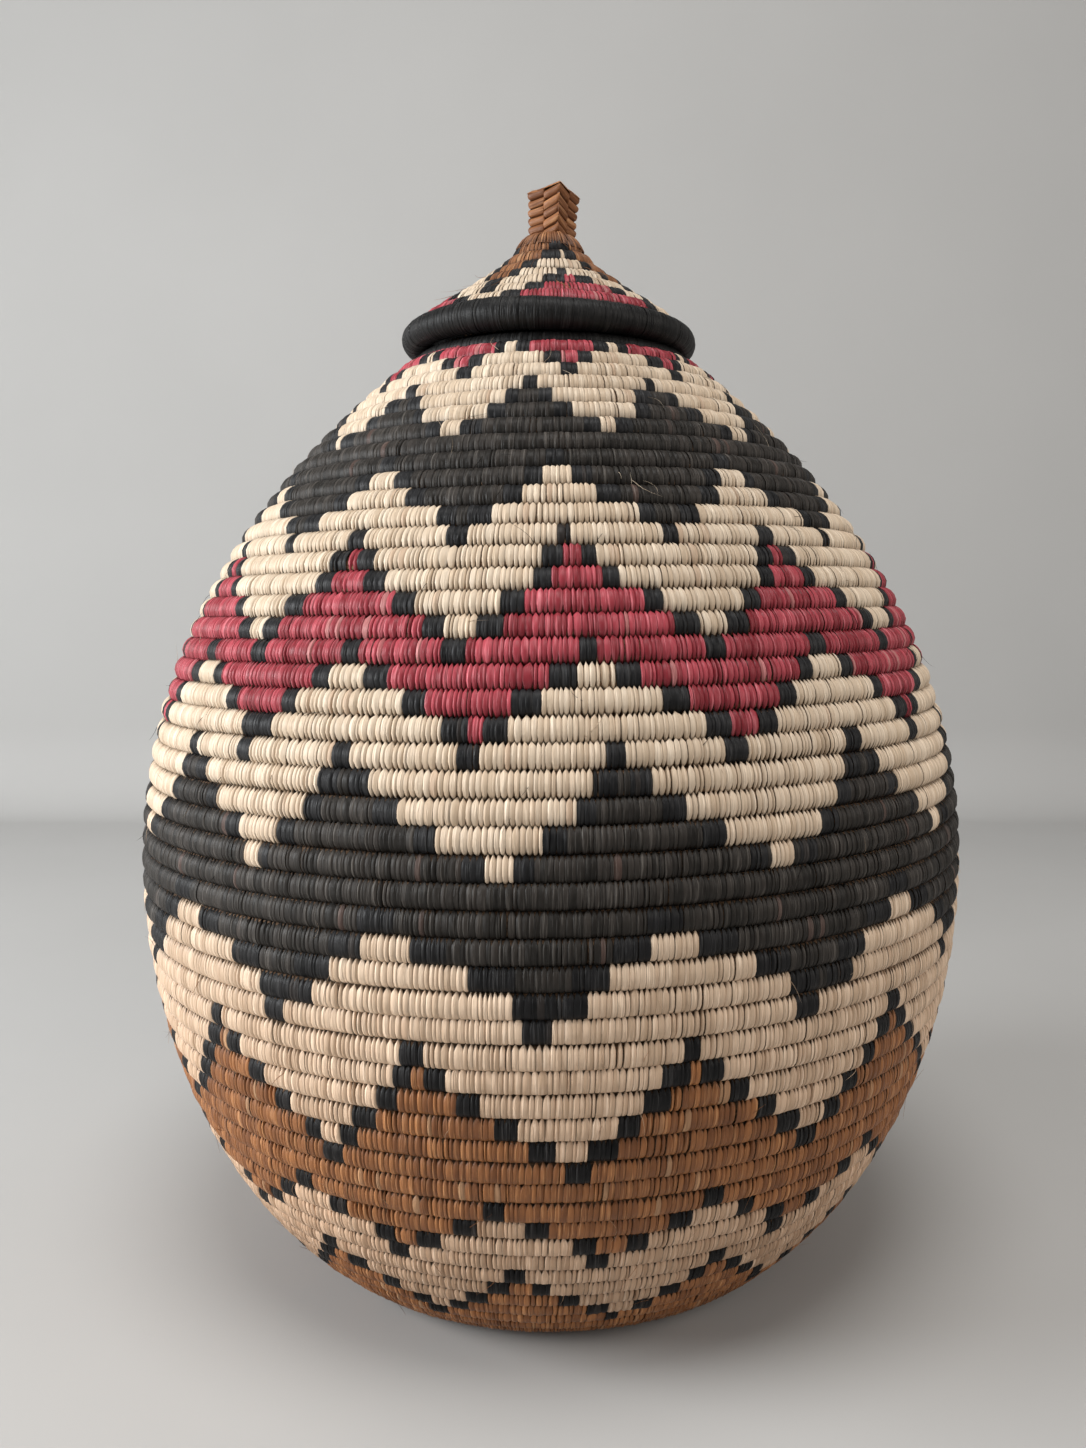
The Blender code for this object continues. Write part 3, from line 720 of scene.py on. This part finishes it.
# %% [markdown]
# One function turns those numbers into points. It works in the coil's own directions: how far round, how far up
# the section, and how proud of it. A strip is a little wider than its place, so that neighbours overlap, except
# on the cone, where grass shows between them. Lengths on a strip are in millimetres, for the fibres' scale.

# %% Stitches
def stitch_object(name, winding, turns, bounds, rows, leaf, seed):
    """The stitches of one leaf at these turns. bounds are the turns of each stitch's two edges."""
    count, on_lid = len(turns), winding.turning < 0
    spread = drawer(np.random.default_rng(seed), count)
    tip, heel, over, under, lean, narrowing, begin = (number[:, None, None] for number in style(rows))
    if leaf in ("black", "dark"):
        tip, heel, over, under = 0.6 * tip, 0.45 * heel, 0.4 * over, 0.3 * under + 0.045
    radius, depth = winding.radius(turns)[:, None, None], winding.depth
    level, column = LEVELS[None, :, None], COLUMNS[None, None, :]
    up, down = np.clip(level, 0, 1), np.clip(-level, 0, 1)

    # The blade. A few strips are loose, which makes them narrower.
    loose = spread(0, 1)
    middle, half = bounds.mean(axis=1)[:, None, None], ((bounds[:, 1] - bounds[:, 0]) / 2)[:, None, None]
    half = half * spread(1.04, 1.24) * (1 - 0.22 * (loose > 0.94))
    if on_lid and leaf != "black":
        half = half * CONE_STRIP_SHARE
    across = level * (1 + over * (level > 0) + under * (level < 0)) + spread(-0.02, 0.02)
    begin = begin + 0.18 * spread(0, 1)
    to_tip = np.clip((up - begin) / (1 - begin), 0, 1)
    round_top = np.sqrt(1 - np.minimum(0.25 + 2.4 * tip, 0.8) * np.clip((up - 0.75) / 0.25, 0, 1) ** 2)
    narrow_up = tip * (1 - to_tip ** 1.1) + (1 - tip) * round_top
    arch = (1 - np.clip((down - narrowing) / (1.01 - narrowing), 0, 1) ** (1.0 + 1.2 * narrowing)) ** 0.7
    blunt = np.sqrt(1 - 0.75 * np.clip((down - 0.8) / 0.2, 0, 1) ** 2)
    width = np.maximum(narrow_up * (heel * arch + (1 - heel) * blunt) * (1 - 0.06 * level ** 2), 0.02)
    slant = (lean + spread(-0.06, 0.06)) * level + spread(-0.05, 0.05) * (level ** 2 - 0.5)
    tip_side = spread(-0.45, 0.45) * to_tip * tip
    turn = middle + half * (column * width + slant + tip_side * (1 - width))

    # The depth. The ends go down into the grooves, the sides round off, and the grass bunches along the coil.
    foot_drop, foot_bend = (np.interp(rows, FOOT_ROWS, ends)[:, None, None] for ends in (FOOT_DROP, FOOT_BEND))
    groove = depth * (0.27 * up ** 2.2 + foot_drop * down ** foot_bend)
    crown = CROWN[leaf] * spread(0.5, 1.4) * np.abs(column) ** 3.2 * (1 + 1.5 * (loose > 0.90))
    crown = crown * (1 - 0.7 * (1 - heel) * down) * (1 - 0.8 * (1 - tip) * up)
    fold = 0.00008 * np.sin(column * spread(2.0, 4.2) + spread(0, 6.3)) * (1 - np.abs(level) ** 3)
    tilt = fold - 0.00006 * column + spread(-0.00016, 0.00016) * column
    thin = winding.thickness(turns)[:, None, None]
    wave = turns[:, None, None] * 2 * math.pi * radius / BUNCH_LENGTH
    share = np.interp(rows, BUNCH_ROWS, BUNCH_SHARE)[:, None, None]
    bunch = BUNCH_RISE * np.sin(wave + 2.0 * np.sin(wave * 0.37)) * share
    proud = (depth / 2 + bunch + spread(-0.00010, 0.00012) - groove - crown + tilt) - (1 - thin) * depth * 0.15
    outer = winding.place(turn, across, proud)

    # The inner half, and the marks and maps of both.
    inner_level, inner_column = INNER_LEVELS[None, :, None], INNER_COLUMNS[None, None, :]
    inner_proud = -(depth / 2 - 0.22 * depth * np.abs(inner_level) ** 3 - CROWN[leaf] * inner_column ** 2)
    inner = winding.place(middle + half * inner_column, inner_level, inner_proud)
    tint, shift = spread(0, 1), spread(0, 40)
    wide, pitch = half * radius * 2 * math.pi * 1000, winding.pitch
    # side and end, the marks below, give the painted shade at each strip's sides and ends.
    outer_sheet = (outer, cells(count, (column + 1) / 2, (level + 1) / 2, 0.03, 0.70),
                   (column * wide + shift, level * pitch * 500 + shift), tint, column, np.abs(level) ** 3)
    inner_sheet = (inner, cells(count, (inner_column + 1) / 2, (inner_level + 1) / 2, 0.74, 0.97),
                   (inner_column * wide + shift, inner_level * pitch * 500), tint, inner_column,
                   np.abs(inner_level) ** 3)
    made = sheet_object(name, LID_LEAF if on_lid and leaf == "rust" else LEAVES[leaf], outer_sheet, inner_sheet)
    return made


def edges_of(turns, seed=3):
    """The turns of the two edges of each stitch, about halfway to its neighbours."""
    share = np.random.default_rng(seed).normal(0.5, 0.13, len(turns) - 1).clip(0.22, 0.78)
    between = turns[:-1] + (turns[1:] - turns[:-1]) * share
    return np.stack([np.r_[2 * turns[0] - between[0], between], np.r_[between, 2 * turns[-1] - between[-1]]], 1)


# %% [markdown]
# A run of the coil holds up to five leaves, and each makes one object, or more where there are very many
# stitches, so that a bake map keeps enough pixels for each. Turns are counted from the middle of the base.

# %% Stitches on the body and the cone
MOST_STITCHES = 1430
BODY_RUNS = [("base_coil", 0.0, 9.5), ("foot_coil", 9.5, 13.5), ("lower_wall_coil", 13.5, 20.5),
             ("haunch_coil", 20.5, 28.5), ("lower_belly_coil", 28.5, 32.5), ("belly_coil", 32.5, 39.5),
             ("upper_belly_coil", 39.5, 48.5), ("upper_wall_coil", 48.5, 55.5), ("shoulder_coil", 55.5, 62.0)]


def dress(winding, turns, leaves, rows, runs, body_name, seed):
    """Stitches for each run of a coil, one object for each leaf in it, in place of the run's node."""
    bounds = edges_of(turns)
    made = []
    for node, low, high in runs:
        for leaf in LEAVES:
            here = np.flatnonzero((turns >= low) & (turns < high) & (leaves == leaf))
            parts = np.array_split(here, math.ceil(len(here) / MOST_STITCHES)) if len(here) else []
            for number, part in enumerate(parts):
                seed += 1
                label = f"{node}_{leaf}" + (f"_{number + 1}" if number else "")
                piece = stitch_object(label, winding, turns[part], bounds[part], rows[part], leaf, seed)
                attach(piece, body_name)
                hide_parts(node)
                made.append(piece)
    triangles = 2 * sum(len(piece.data.polygons) for piece in made)
    print(f"{winding.turns} turns: {len(made)} objects with {triangles} triangles")


body_rows = body.turns + 1 - body_stitches
dress(body, body_stitches, body_leaf, body_rows, BODY_RUNS, "basket", 100)
cone_rows = np.full(len(cone_stitches), CONE_STYLE_ROW)
dress(cone, cone_stitches, cone_leaf, cone_rows, [("cone_coil", 0.0, cone.turns + 1.0)], "lid", 300)

# %% [markdown]
# ## The grass core
# Under the stitches lies the bundle of grass itself: a tube with eight sides, a little thinner than the coil.
# Neighbouring turns touch, so no light comes through the wall.

# %% Grass cores
STEPS_PER_TURN, GRASS_REACH, GRASS_DEPTH = 64, 1.05, 0.385


def grass_object(name, winding, low, high, body_name):
    """A tube of grass from one turn to another."""
    turns = np.arange(low, high + 0.5 / STEPS_PER_TURN, 1 / STEPS_PER_TURN)[None, None, :]
    angle = np.linspace(0, 2 * math.pi, 9)[None, :, None]
    proud = winding.depth * GRASS_DEPTH * np.sin(angle) * np.clip(winding.thickness(turns), 0.3, 1)
    points = winding.place(turns, GRASS_REACH * np.cos(angle), proud)
    lines = max(1, math.ceil(high - low))
    share = (turns - low) / (high - low)
    line = np.floor(share * lines * 0.9999)
    on_bake_map = share * lines - line, (line + 0.05 + 0.9 * angle / (2 * math.pi)) / lines
    made = sheet_object(name, GRASS, (points, on_bake_map, (angle * 1.3, turns * 2 * math.pi * 100)))
    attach(made, body_name)


for node, low, high in BODY_RUNS:
    grass_object(f"{node}_grass", body, max(low, 0.3), min(high, 61.8), "basket")
grass_object("cone_coil_grass", cone, 0.3, cone.turns + 0.6, "lid")
print(len(BODY_RUNS) + 1, "cores")

# %% [markdown]
# ## Bound rims
# The mouth and the lid's edge are thick rings of grass, bound crosswise with black leaf. The strips lie so
# close that the ring looks turned, with fine lines across it and a wider strip now and then. The seam where
# each sheet closes is on the underside.

# %% Rim and ring
WIDE_STRIPS_FROM, BINDING_SLANT = 0.93, 0.15
SWELL_TURN, SWELL_WIDTH = 0.44, 0.07


def bound_object(name, middle, thickness, count, seed, swell=0.0, lay=lambda points: points):
    """Strips wrapped round a ring. middle is the radius and the height of its core. swell is how much higher
    the ring stands a little to the left of the front, where more grass was bound in."""
    random = np.random.default_rng(seed)
    spread = drawer(random, count)
    parts = random.gamma(6.0, 1.0, count)
    parts[random.uniform(0, 1, count) > WIDE_STRIPS_FROM] *= 2.0
    ends = np.r_[0.0, np.cumsum(parts)] / parts.sum()
    centre, half = ((ends[1:] + ends[:-1]) / 2)[:, None, None], ((ends[1:] - ends[:-1]) / 2)[:, None, None] * 1.05
    angle = np.linspace(-math.pi * 0.75, math.pi * 1.25, 25)[None, :, None]
    column = np.array([-1.0, -0.55, 0.55, 1.0])[None, None, :]
    lie = spread(-0.00010, 0.00012)
    crown = spread(0.00008, 0.00022) * np.abs(column) ** 3
    round_it = thickness / 2 + lie - crown + spread(-0.00008, 0.00008) * column
    turn = centre + half * (column + BINDING_SLANT * np.sin(angle) + spread(-0.06, 0.06))
    round_it = round_it + swell * np.exp(-((turn - SWELL_TURN) / SWELL_WIDTH) ** 2) * (0.5 + 0.5 * np.sin(angle))
    turn = turn * 2 * math.pi + math.pi / 2
    radius, height = middle[0] + round_it * np.cos(angle), middle[1] + round_it * np.sin(angle)
    points = lay(together(radius * np.cos(turn), radius * np.sin(turn), height))
    # side gives painted shade at the sides of each strip.
    tint = spread(0, 0.95)
    wide, shift = half * 2 * math.pi * middle[0] * 1000, tint * 40
    made = sheet_object(name, RING_LEAF, (points, cells(count, (column + 1) / 2, (angle / math.pi + 0.75) / 2),
                                          (column * wide + shift, angle * thickness * 500 + shift), tint, column, 0.0))
    return made


rim_binding = bound_object("mouth_rim_binding", rim, RIM_THICKNESS, 190, seed=21)
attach(rim_binding, "basket")
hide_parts("mouth_rim")
ring_binding = bound_object("lid_ring_binding", ring, RING_THICKNESS, 250, seed=22, swell=0.0010, lay=settle)
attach(ring_binding, "lid")
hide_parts("lid_ring")
print("rim and ring:", len(rim_binding.data.polygons) + len(ring_binding.data.polygons), "faces")

# %% [markdown]
# ## Collar and knot
# Under the cone a short collar of the same coil drops into the mouth and keeps the lid in place. At the other
# end, the whole basket starts from a knot in the middle of the base. Both are wound like the rest.

# %% Collar and knot
COLLAR_PLAY, COLLAR_DROP, COLLAR_STITCH = 0.0012, 0.0190, 0.0026
collar_radius = rim[0] - RIM_THICKNESS / 2 - COLLAR_PLAY - LID_DEPTH / 2
collar_top = float(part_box("collar_coil")[1].z)
collar_line = Outline(np.array([[collar_radius, collar_top], [collar_radius, rim[1] - COLLAR_DROP]]), side=1)
collar = Winding(collar_line, 0.0, collar_line.marks[-1], LID_PITCH, LID_DEPTH, turning=-1)
collar_stitches = stitch_turns(collar, 0.4, collar.turns + 0.7, COLLAR_STITCH, seed=31)
collar_leaf = np.full(len(collar_stitches), "black", dtype=object)
dress(collar, collar_stitches, collar_leaf, np.full(len(collar_stitches), COLLAR_STYLE_ROW),
      [("collar_coil", 0.0, collar.turns + 1.0)], "lid", 400)
grass_object("collar_coil_grass", collar, 0.3, collar.turns + 0.7, "lid")

KNOT_START, KNOT_STITCH = 0.0004, 0.0019
knot = Winding(body_line, KNOT_START, KNOT_RADIUS, KNOT_RADIUS, COIL_DEPTH)
knot_stitches = stitch_turns(knot, 0.55, 1.9, KNOT_STITCH, seed=32)
knot_leaf = np.full(len(knot_stitches), "rust", dtype=object)
dress(knot, knot_stitches, knot_leaf, np.full(len(knot_stitches), KNOT_STYLE_ROW),
      [("start_knot", 0.0, 2.0)], "basket", 420)
grass_object("start_knot_grass", knot, 0.5, 1.9, "basket")

# %% [markdown]
# ## The plaited knob
# The knob is a square plait of eight strands of brown leaf, two to a face. What shows of a strand is a column
# of folds, each a strip rolled over the one below, with its lower edge turned under. On one face the folds
# rise to the corner, and on the next they fall from it, so they meet there as a chevron. Written as a list of
# folds, the whole plait is one mesh with a strip for each.

# %% Folds of the knob
KNOB_SIDE, KNOB_FLARE, KNOB_TURN_DEG, KNOB_LEAN = 0.0158, 0.13, -31.5, 0.0014
FOLDS_IN_COLUMN, FOLD_THICKNESS = 6, 0.0030
NEAR_CORNER = (0.0200, 0.34, 0.0041, 0.0)  # top edge, slope, height of a fold, and how much slope each next one loses
OFF_CORNER = (0.0198, 0.18, 0.0037, 0.13)
knob_foot = float(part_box("knob_core")[0].z)


def knob_folds():
    """The face, the column, the height of the top edge, its slope and the fold's own height, for each fold."""
    folds = []
    for face in range(4):
        rises = 1 if face % 2 == 0 else -1
        for column in (-1, 1):
            top, slope, height, fades = NEAR_CORNER if column == rises else OFF_CORNER
            for number in range(FOLDS_IN_COLUMN):
                folds.append((face, column, top - height * number, rises * slope * (1 - fades * number), height))
    return folds


def turned(x, y, degrees):
    """x and y after a turn about the upright axis."""
    angle = np.radians(degrees)
    return x * np.cos(angle) - y * np.sin(angle), x * np.sin(angle) + y * np.cos(angle)


print(len(knob_folds()), "folds")

# %% [markdown]
# A fold is flat on its face of the knob, so it is made there, and then all four faces are turned into place.
# Across, it is full in the middle and sinks to its ends. Upwards, it starts tucked under, swells and rolls in.
# Its end at the knob's corner is cut at a mitre, and the whole knob flares a little towards its top.

# %% Knob
def knob_object():
    """The plait's folds as one mesh, with a strip for each."""
    folds = knob_folds()
    count = len(folds)
    spread = drawer(np.random.default_rng(41), count)
    jitter = lambda size: spread(-size, size)
    across = np.array([-0.99, -1.0, -0.97, -0.85, -0.45, 0.0, 0.45, 0.85, 0.97, 1.0, 0.99])[None, None, :]
    full = np.array([0.0, 0.80, 0.95, 1.0, 1.0, 1.0, 1.0, 1.0, 0.95, 0.80, 0.0])[None, None, :]
    up = np.array([-0.12, -0.04, 0.04, 0.16, 0.36, 0.58, 0.78, 0.92, 1.02])[None, :, None]
    bulge_of = np.array([0.15, 0.50, 0.72, 0.88, 0.98, 1.0, 0.90, 0.66, 0.20])[None, :, None]
    face, column, top, slope, height = (np.array([fold[i] for fold in folds])[:, None, None] for i in range(5))
    half = KNOB_SIDE / 4 + 0.0002
    sunk = FOLD_THICKNESS * (1 - bulge_of * full)
    mitre = sunk * np.interp(across * column, [0.5, 0.85, 0.97], [0.0, 0.35, 1.0])
    x = column * (KNOB_SIDE / 4 - mitre) + half * across + jitter(0.0002)
    z = top + (up - 1) * height * (1.02 + jitter(0.05)) + slope * half * across * (1 + jitter(0.12)) + jitter(0.0003)
    z = z - 0.00035 * (1 - full) * (up - 0.5) * 2
    y = -(KNOB_SIDE / 2 - FOLD_THICKNESS + FOLD_THICKNESS * bulge_of * full * (1 + jitter(0.08)))
    flare = 1 + KNOB_FLARE * np.clip(z / 0.0214, 0, 1.1) ** 1.6
    x, y = turned(x * flare, y * flare, 90 * face + KNOB_TURN_DEG)
    points = settle(together(x + KNOB_LEAN * (0.6 + 0.4 * z / 0.02), y, z + knob_foot))
    # side and end here give painted shade under the lower edge of each fold and at its ends.
    tint = spread(0, 0.95)
    shares = [np.linspace(0, 1, points.shape[2])[None, None, :], np.linspace(0, 1, points.shape[1])[None, :, None]]
    made = sheet_object("plaited_knob", KNOB_LEAF, (
        points, cells(count, *shares), (up * 2.6 + tint * 40, across * 4 + tint * 40),
        tint, np.interp(up, [0.0, 0.3, 1.0], [1.0, 0.5, 0.6]), np.abs(across) ** 8 * 0.6))
    return made


# %% [markdown]
# Two more pieces close the knob. Four folds lie over its top, each across the next, a little higher at the two
# corners where the chevrons rise. At its foot, strips come down over the cone's first row, out of a square and
# into a circle, so that the knob and the cone join.

# %% Top and neck of the knob
def knob_top_object():
    """Four folds, each over a quarter of the top."""
    grid = np.array([-1.0, -0.92, -0.6, 0.0, 0.6, 0.92, 1.0])
    across, along = grid[None, None, :], grid[None, :, None]
    quarter = np.arange(4)[:, None, None]
    edge = (1 - across ** 6) * (1 - along ** 6)
    half = KNOB_SIDE / 4 * (1 + KNOB_FLARE * 0.8)
    x, y = half * (1 + across * 1.02), half * (1 + along * 1.02)
    to_high_corner = np.where(quarter % 2 == 1, x + y, np.abs(x - y)) / (4 * half)
    outer = np.clip((np.maximum(x, y) / (2 * half) - 0.8) / 0.2, 0, 1)
    z = 0.0190 + 0.0024 * to_high_corner ** 1.4 + 0.0009 * edge ** 0.5 - 0.0010 * outer ** 2 + 0.0003 * across
    x, y = turned(x, y, 90 * quarter + KNOB_TURN_DEG)
    # side and end here give painted shade at the edges of each fold.
    tint = np.array([0.3, 0.7, 0.45, 0.85])[:, None, None]
    made = sheet_object("knob_top", KNOB_LEAF, (
        settle(together(x + KNOB_LEAN, y, z + knob_foot)), cells(4, (across + 1) / 2, (along + 1) / 2),
        (along * 2.6 + tint * 40, across * 4 + tint * 40), tint, along * 0.8, np.abs(across) ** 4 * 0.5))
    return made


NECK_STRIPS, NECK_RADIUS, NECK_TWIST = 76, 0.0153, 0.10
NECK_PROFILE = np.array([  # share of a strip's length, share of the way out, and millimetres above the knob's foot
    (0.0, 0.0, -2.2), (0.06, 0.06, 0.3), (0.20, 0.20, 0.3), (0.42, 0.38, -0.4), (0.66, 0.58, -1.6),
    (0.86, 0.80, -3.7), (1.0, 1.0, -6.2)])


def neck_object():
    """Strips from the knob's square foot out over the first row of the cone."""
    count = NECK_STRIPS
    spread = drawer(np.random.default_rng(43), count)
    column = np.array([-1.0, -0.5, 0.0, 0.5, 1.0])[None, None, :]
    share, out, fall = NECK_PROFILE.T[:, None, :, None]
    start = (np.arange(count)[:, None, None] + spread(-0.15, 0.15)) * 2 * math.pi / count
    narrow = 1 - 0.25 * np.clip(share - 0.8, 0, 1) / 0.2
    angle = start + column * narrow * math.pi / count * 1.15 + NECK_TWIST * share
    off_face = angle - math.radians(KNOB_TURN_DEG)
    corner = np.abs(np.cos(off_face)) ** 4 + np.abs(np.sin(off_face)) ** 4
    near = (KNOB_SIDE / 2 - 0.0004) * corner ** -0.25
    far = NECK_RADIUS + spread(-0.0004, 0.0005)
    lie = spread(-0.0002, 0.0003) - 0.00035 * np.abs(column) ** 2.5
    radius = near + (far - near) * out + lie * 0.8
    lean_over = KNOB_LEAN * 0.6 * (1 - share)
    x, y = radius * np.cos(angle) + lean_over, radius * np.sin(angle)
    # side and end here give painted shade at the sides of each strip and towards its outer end.
    tint = spread(0, 0.95)
    made = sheet_object("neck_strips", LID_LEAF, (
        settle(together(x, y, knob_foot + fall / 1000 + lie * 0.6)), cells(count, (column + 1) / 2, share),
        (column * 0.7 + tint * 40, share * 5 + tint * 40), tint, column, share ** 3))
    return made


neck = neck_object()
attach(neck, "lid")
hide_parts("cone_coil")
knob_top = knob_top_object()
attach(knob_top, "lid")
knob = knob_object()
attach(knob, "lid")
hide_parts(*[f"plait_strand_{face}_{side}" for face in (1, 2, 3, 4) for side in ("left", "right")])
for name in ("knob_core", "knob_stem"):
    frame["nodes"][name].data.materials.clear()
    frame["nodes"][name].data.materials.append(GRASS)
print("knob, top and neck:", [len(piece.data.polygons) for piece in (knob, knob_top, neck)], "faces")

# %% [markdown]
# ## Loose fibres
# Split leaf sheds fibres. They lie across the stitches, start in a groove, and half of their ends stand free,
# which is what makes the outline of a real basket a little rough. Each is a thin tube with three sides that
# tapers. Its sides are set out from its line by two directions: away from the coil, and square to that.

# %% Loose fibres
FREE_SHARE, FREE_RISE, FIBRE_LENGTH, FIBRE_THICKNESS = 0.5, (0.0008, 0.0040), (0.004, 0.013), (0.00007, 0.00015)


def unit(vectors):
    return vectors / np.linalg.norm(vectors, axis=-1, keepdims=True)


def fibre_object(name, winding, count, low, high, leaf, body_name, seed):
    random = np.random.default_rng(seed)
    spread = drawer(random, count)
    share = np.linspace(0, 1, 9)[None, :, None]
    start, across, length = spread(low, high), spread(-1, 1), spread(*FIBRE_LENGTH)
    aim = random.normal(0, 0.6, count)[:, None, None] + math.pi / 2 * np.sign(spread(-1, 1))
    bow = spread(-0.25, 0.25) * np.sin(math.pi * share)
    turn = start + (length * (np.cos(aim) * share + bow)) / (2 * math.pi * winding.radius(start))
    reach = across + length * (np.sin(aim) * share + 0.3 * bow) / (winding.pitch / 2)
    loose = (spread(0, 1) < FREE_SHARE) * spread(*FREE_RISE) * share ** 2
    lie = winding.depth / 2 + 0.00015 - 0.0012 * (1 - share) ** 6 + loose
    line = winding.place(turn, reach, lie)
    outside = unit(winding.place(turn, reach, lie + 0.001) - line)
    sideways = unit(np.cross(np.gradient(line, axis=1), outside))
    angle = np.linspace(0, 2 * math.pi, 4)[None, None, :]
    thick = (spread(*FIBRE_THICKNESS) * (1 - 0.8 * share ** 2))[..., None]
    points = line + thick * (np.cos(angle)[..., None] * outside + np.sin(angle)[..., None] * sideways)
    made = sheet_object(name, LEAVES[leaf], (points, cells(count, angle / (2 * math.pi), share),
                                             (angle, share * 8), spread(0.1, 0.9), 0.0, 0.0))
    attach(made, body_name)


FIBRES = [("pale_fibres", body, 150, 13.5, 61.5, "natural", "basket", 61),
          ("dark_fibres", body, 90, 32.0, 56.0, "dark", "basket", 62),
          ("brown_fibres", body, 90, 13.5, 30.0, "rust", "basket", 63),
          ("lid_fibres", cone, 36, 1.0, 7.0, "rust", "lid", 64)]
for family in FIBRES:
    fibre_object(*family)
print(sum(family[2] for family in FIBRES), "fibres")

# %% [markdown]
# ## The stage
# A pale floor turns up into a pale backdrop in one smooth bend, so no edge shows behind the basket. Its colour
# is a little cloudy, because a perfectly even grey looks like no surface at all.

# %% Stage
def stage_finish():
    paint = Finish("pale_stage", Roughness=0.9)
    cloud = paint.noise(paint.place(), 3.0, 4.0)
    return paint.finish(Base_Color=paint.mix(cloud, (0.385, 0.38, 0.37), (0.43, 0.425, 0.415)))


def stage_object(back=1.15, side=4.0, front=-3.0, top=3.0, bend_radius=0.12):
    """A floor that turns up into a backdrop."""
    bend_line = [np.array([back - bend_radius, bend_radius]) + way(a) * bend_radius for a in np.linspace(-90, 0, 13)]
    line = np.concatenate([[[front, 0.0]], bend_line, [[back, top]]])
    grid = np.array([[[x, y, z] for x in (-side, side)] for y, z in line])[None]
    return sheet_object("floor_and_backdrop", stage_finish(), (grid, (0.0, 0.0), (0.0, 0.0)))


stage_object()

# %% [markdown]
# ## Light
# The main light is wide and comes from the left. One from above and one from the right fill the shadows, and a
# little comes back up from the floor. The world adds a weak, even light from all sides.

# %% Lamps
WORLD_COLOUR, WORLD_STRENGTH = (0.93, 0.96, 1.0, 1.0), 0.16

world = bpy.data.worlds.new("even_light")
bpy.context.scene.world = world
world.use_nodes = True
world.node_tree.nodes["Background"].inputs["Color"].default_value = WORLD_COLOUR
world.node_tree.nodes["Background"].inputs["Strength"].default_value = WORLD_STRENGTH


def area_light(name, place, aim, size, power, colour):
    """A round lamp. Its size is in metres and its power in watts."""
    lamp = bpy.data.objects.new(name, bpy.data.lights.new(name, "AREA"))
    lamp.data.shape, lamp.data.size, lamp.data.energy, lamp.data.color = "DISK", size, power, colour
    lamp.location = place
    lamp.rotation_euler = (Vector(aim) - Vector(place)).to_track_quat("-Z", "Y").to_euler()
    bpy.context.scene.collection.objects.link(lamp)


area_light("main_light", (-1.70, -0.34, 0.72), (0, 0, 0.18), 0.9, 44.0, (0.965, 0.985, 1.0))
area_light("top_fill", (0.0, -0.60, 2.1), (0, 0, 0.2), 1.0, 26.0, (1.0, 0.985, 0.965))
area_light("warm_fill", (1.5, -0.7, 0.9), (0, 0, 0.2), 1.2, 13.0, (1.0, 0.94, 0.88))
area_light("floor_bounce", (-0.50, -0.45, 0.03), (-0.10, -0.08, 0.09), 0.3, 1.2, (1.0, 0.985, 0.965))
bpy.context.scene.view_settings.view_transform = "Standard"

# %% [markdown]
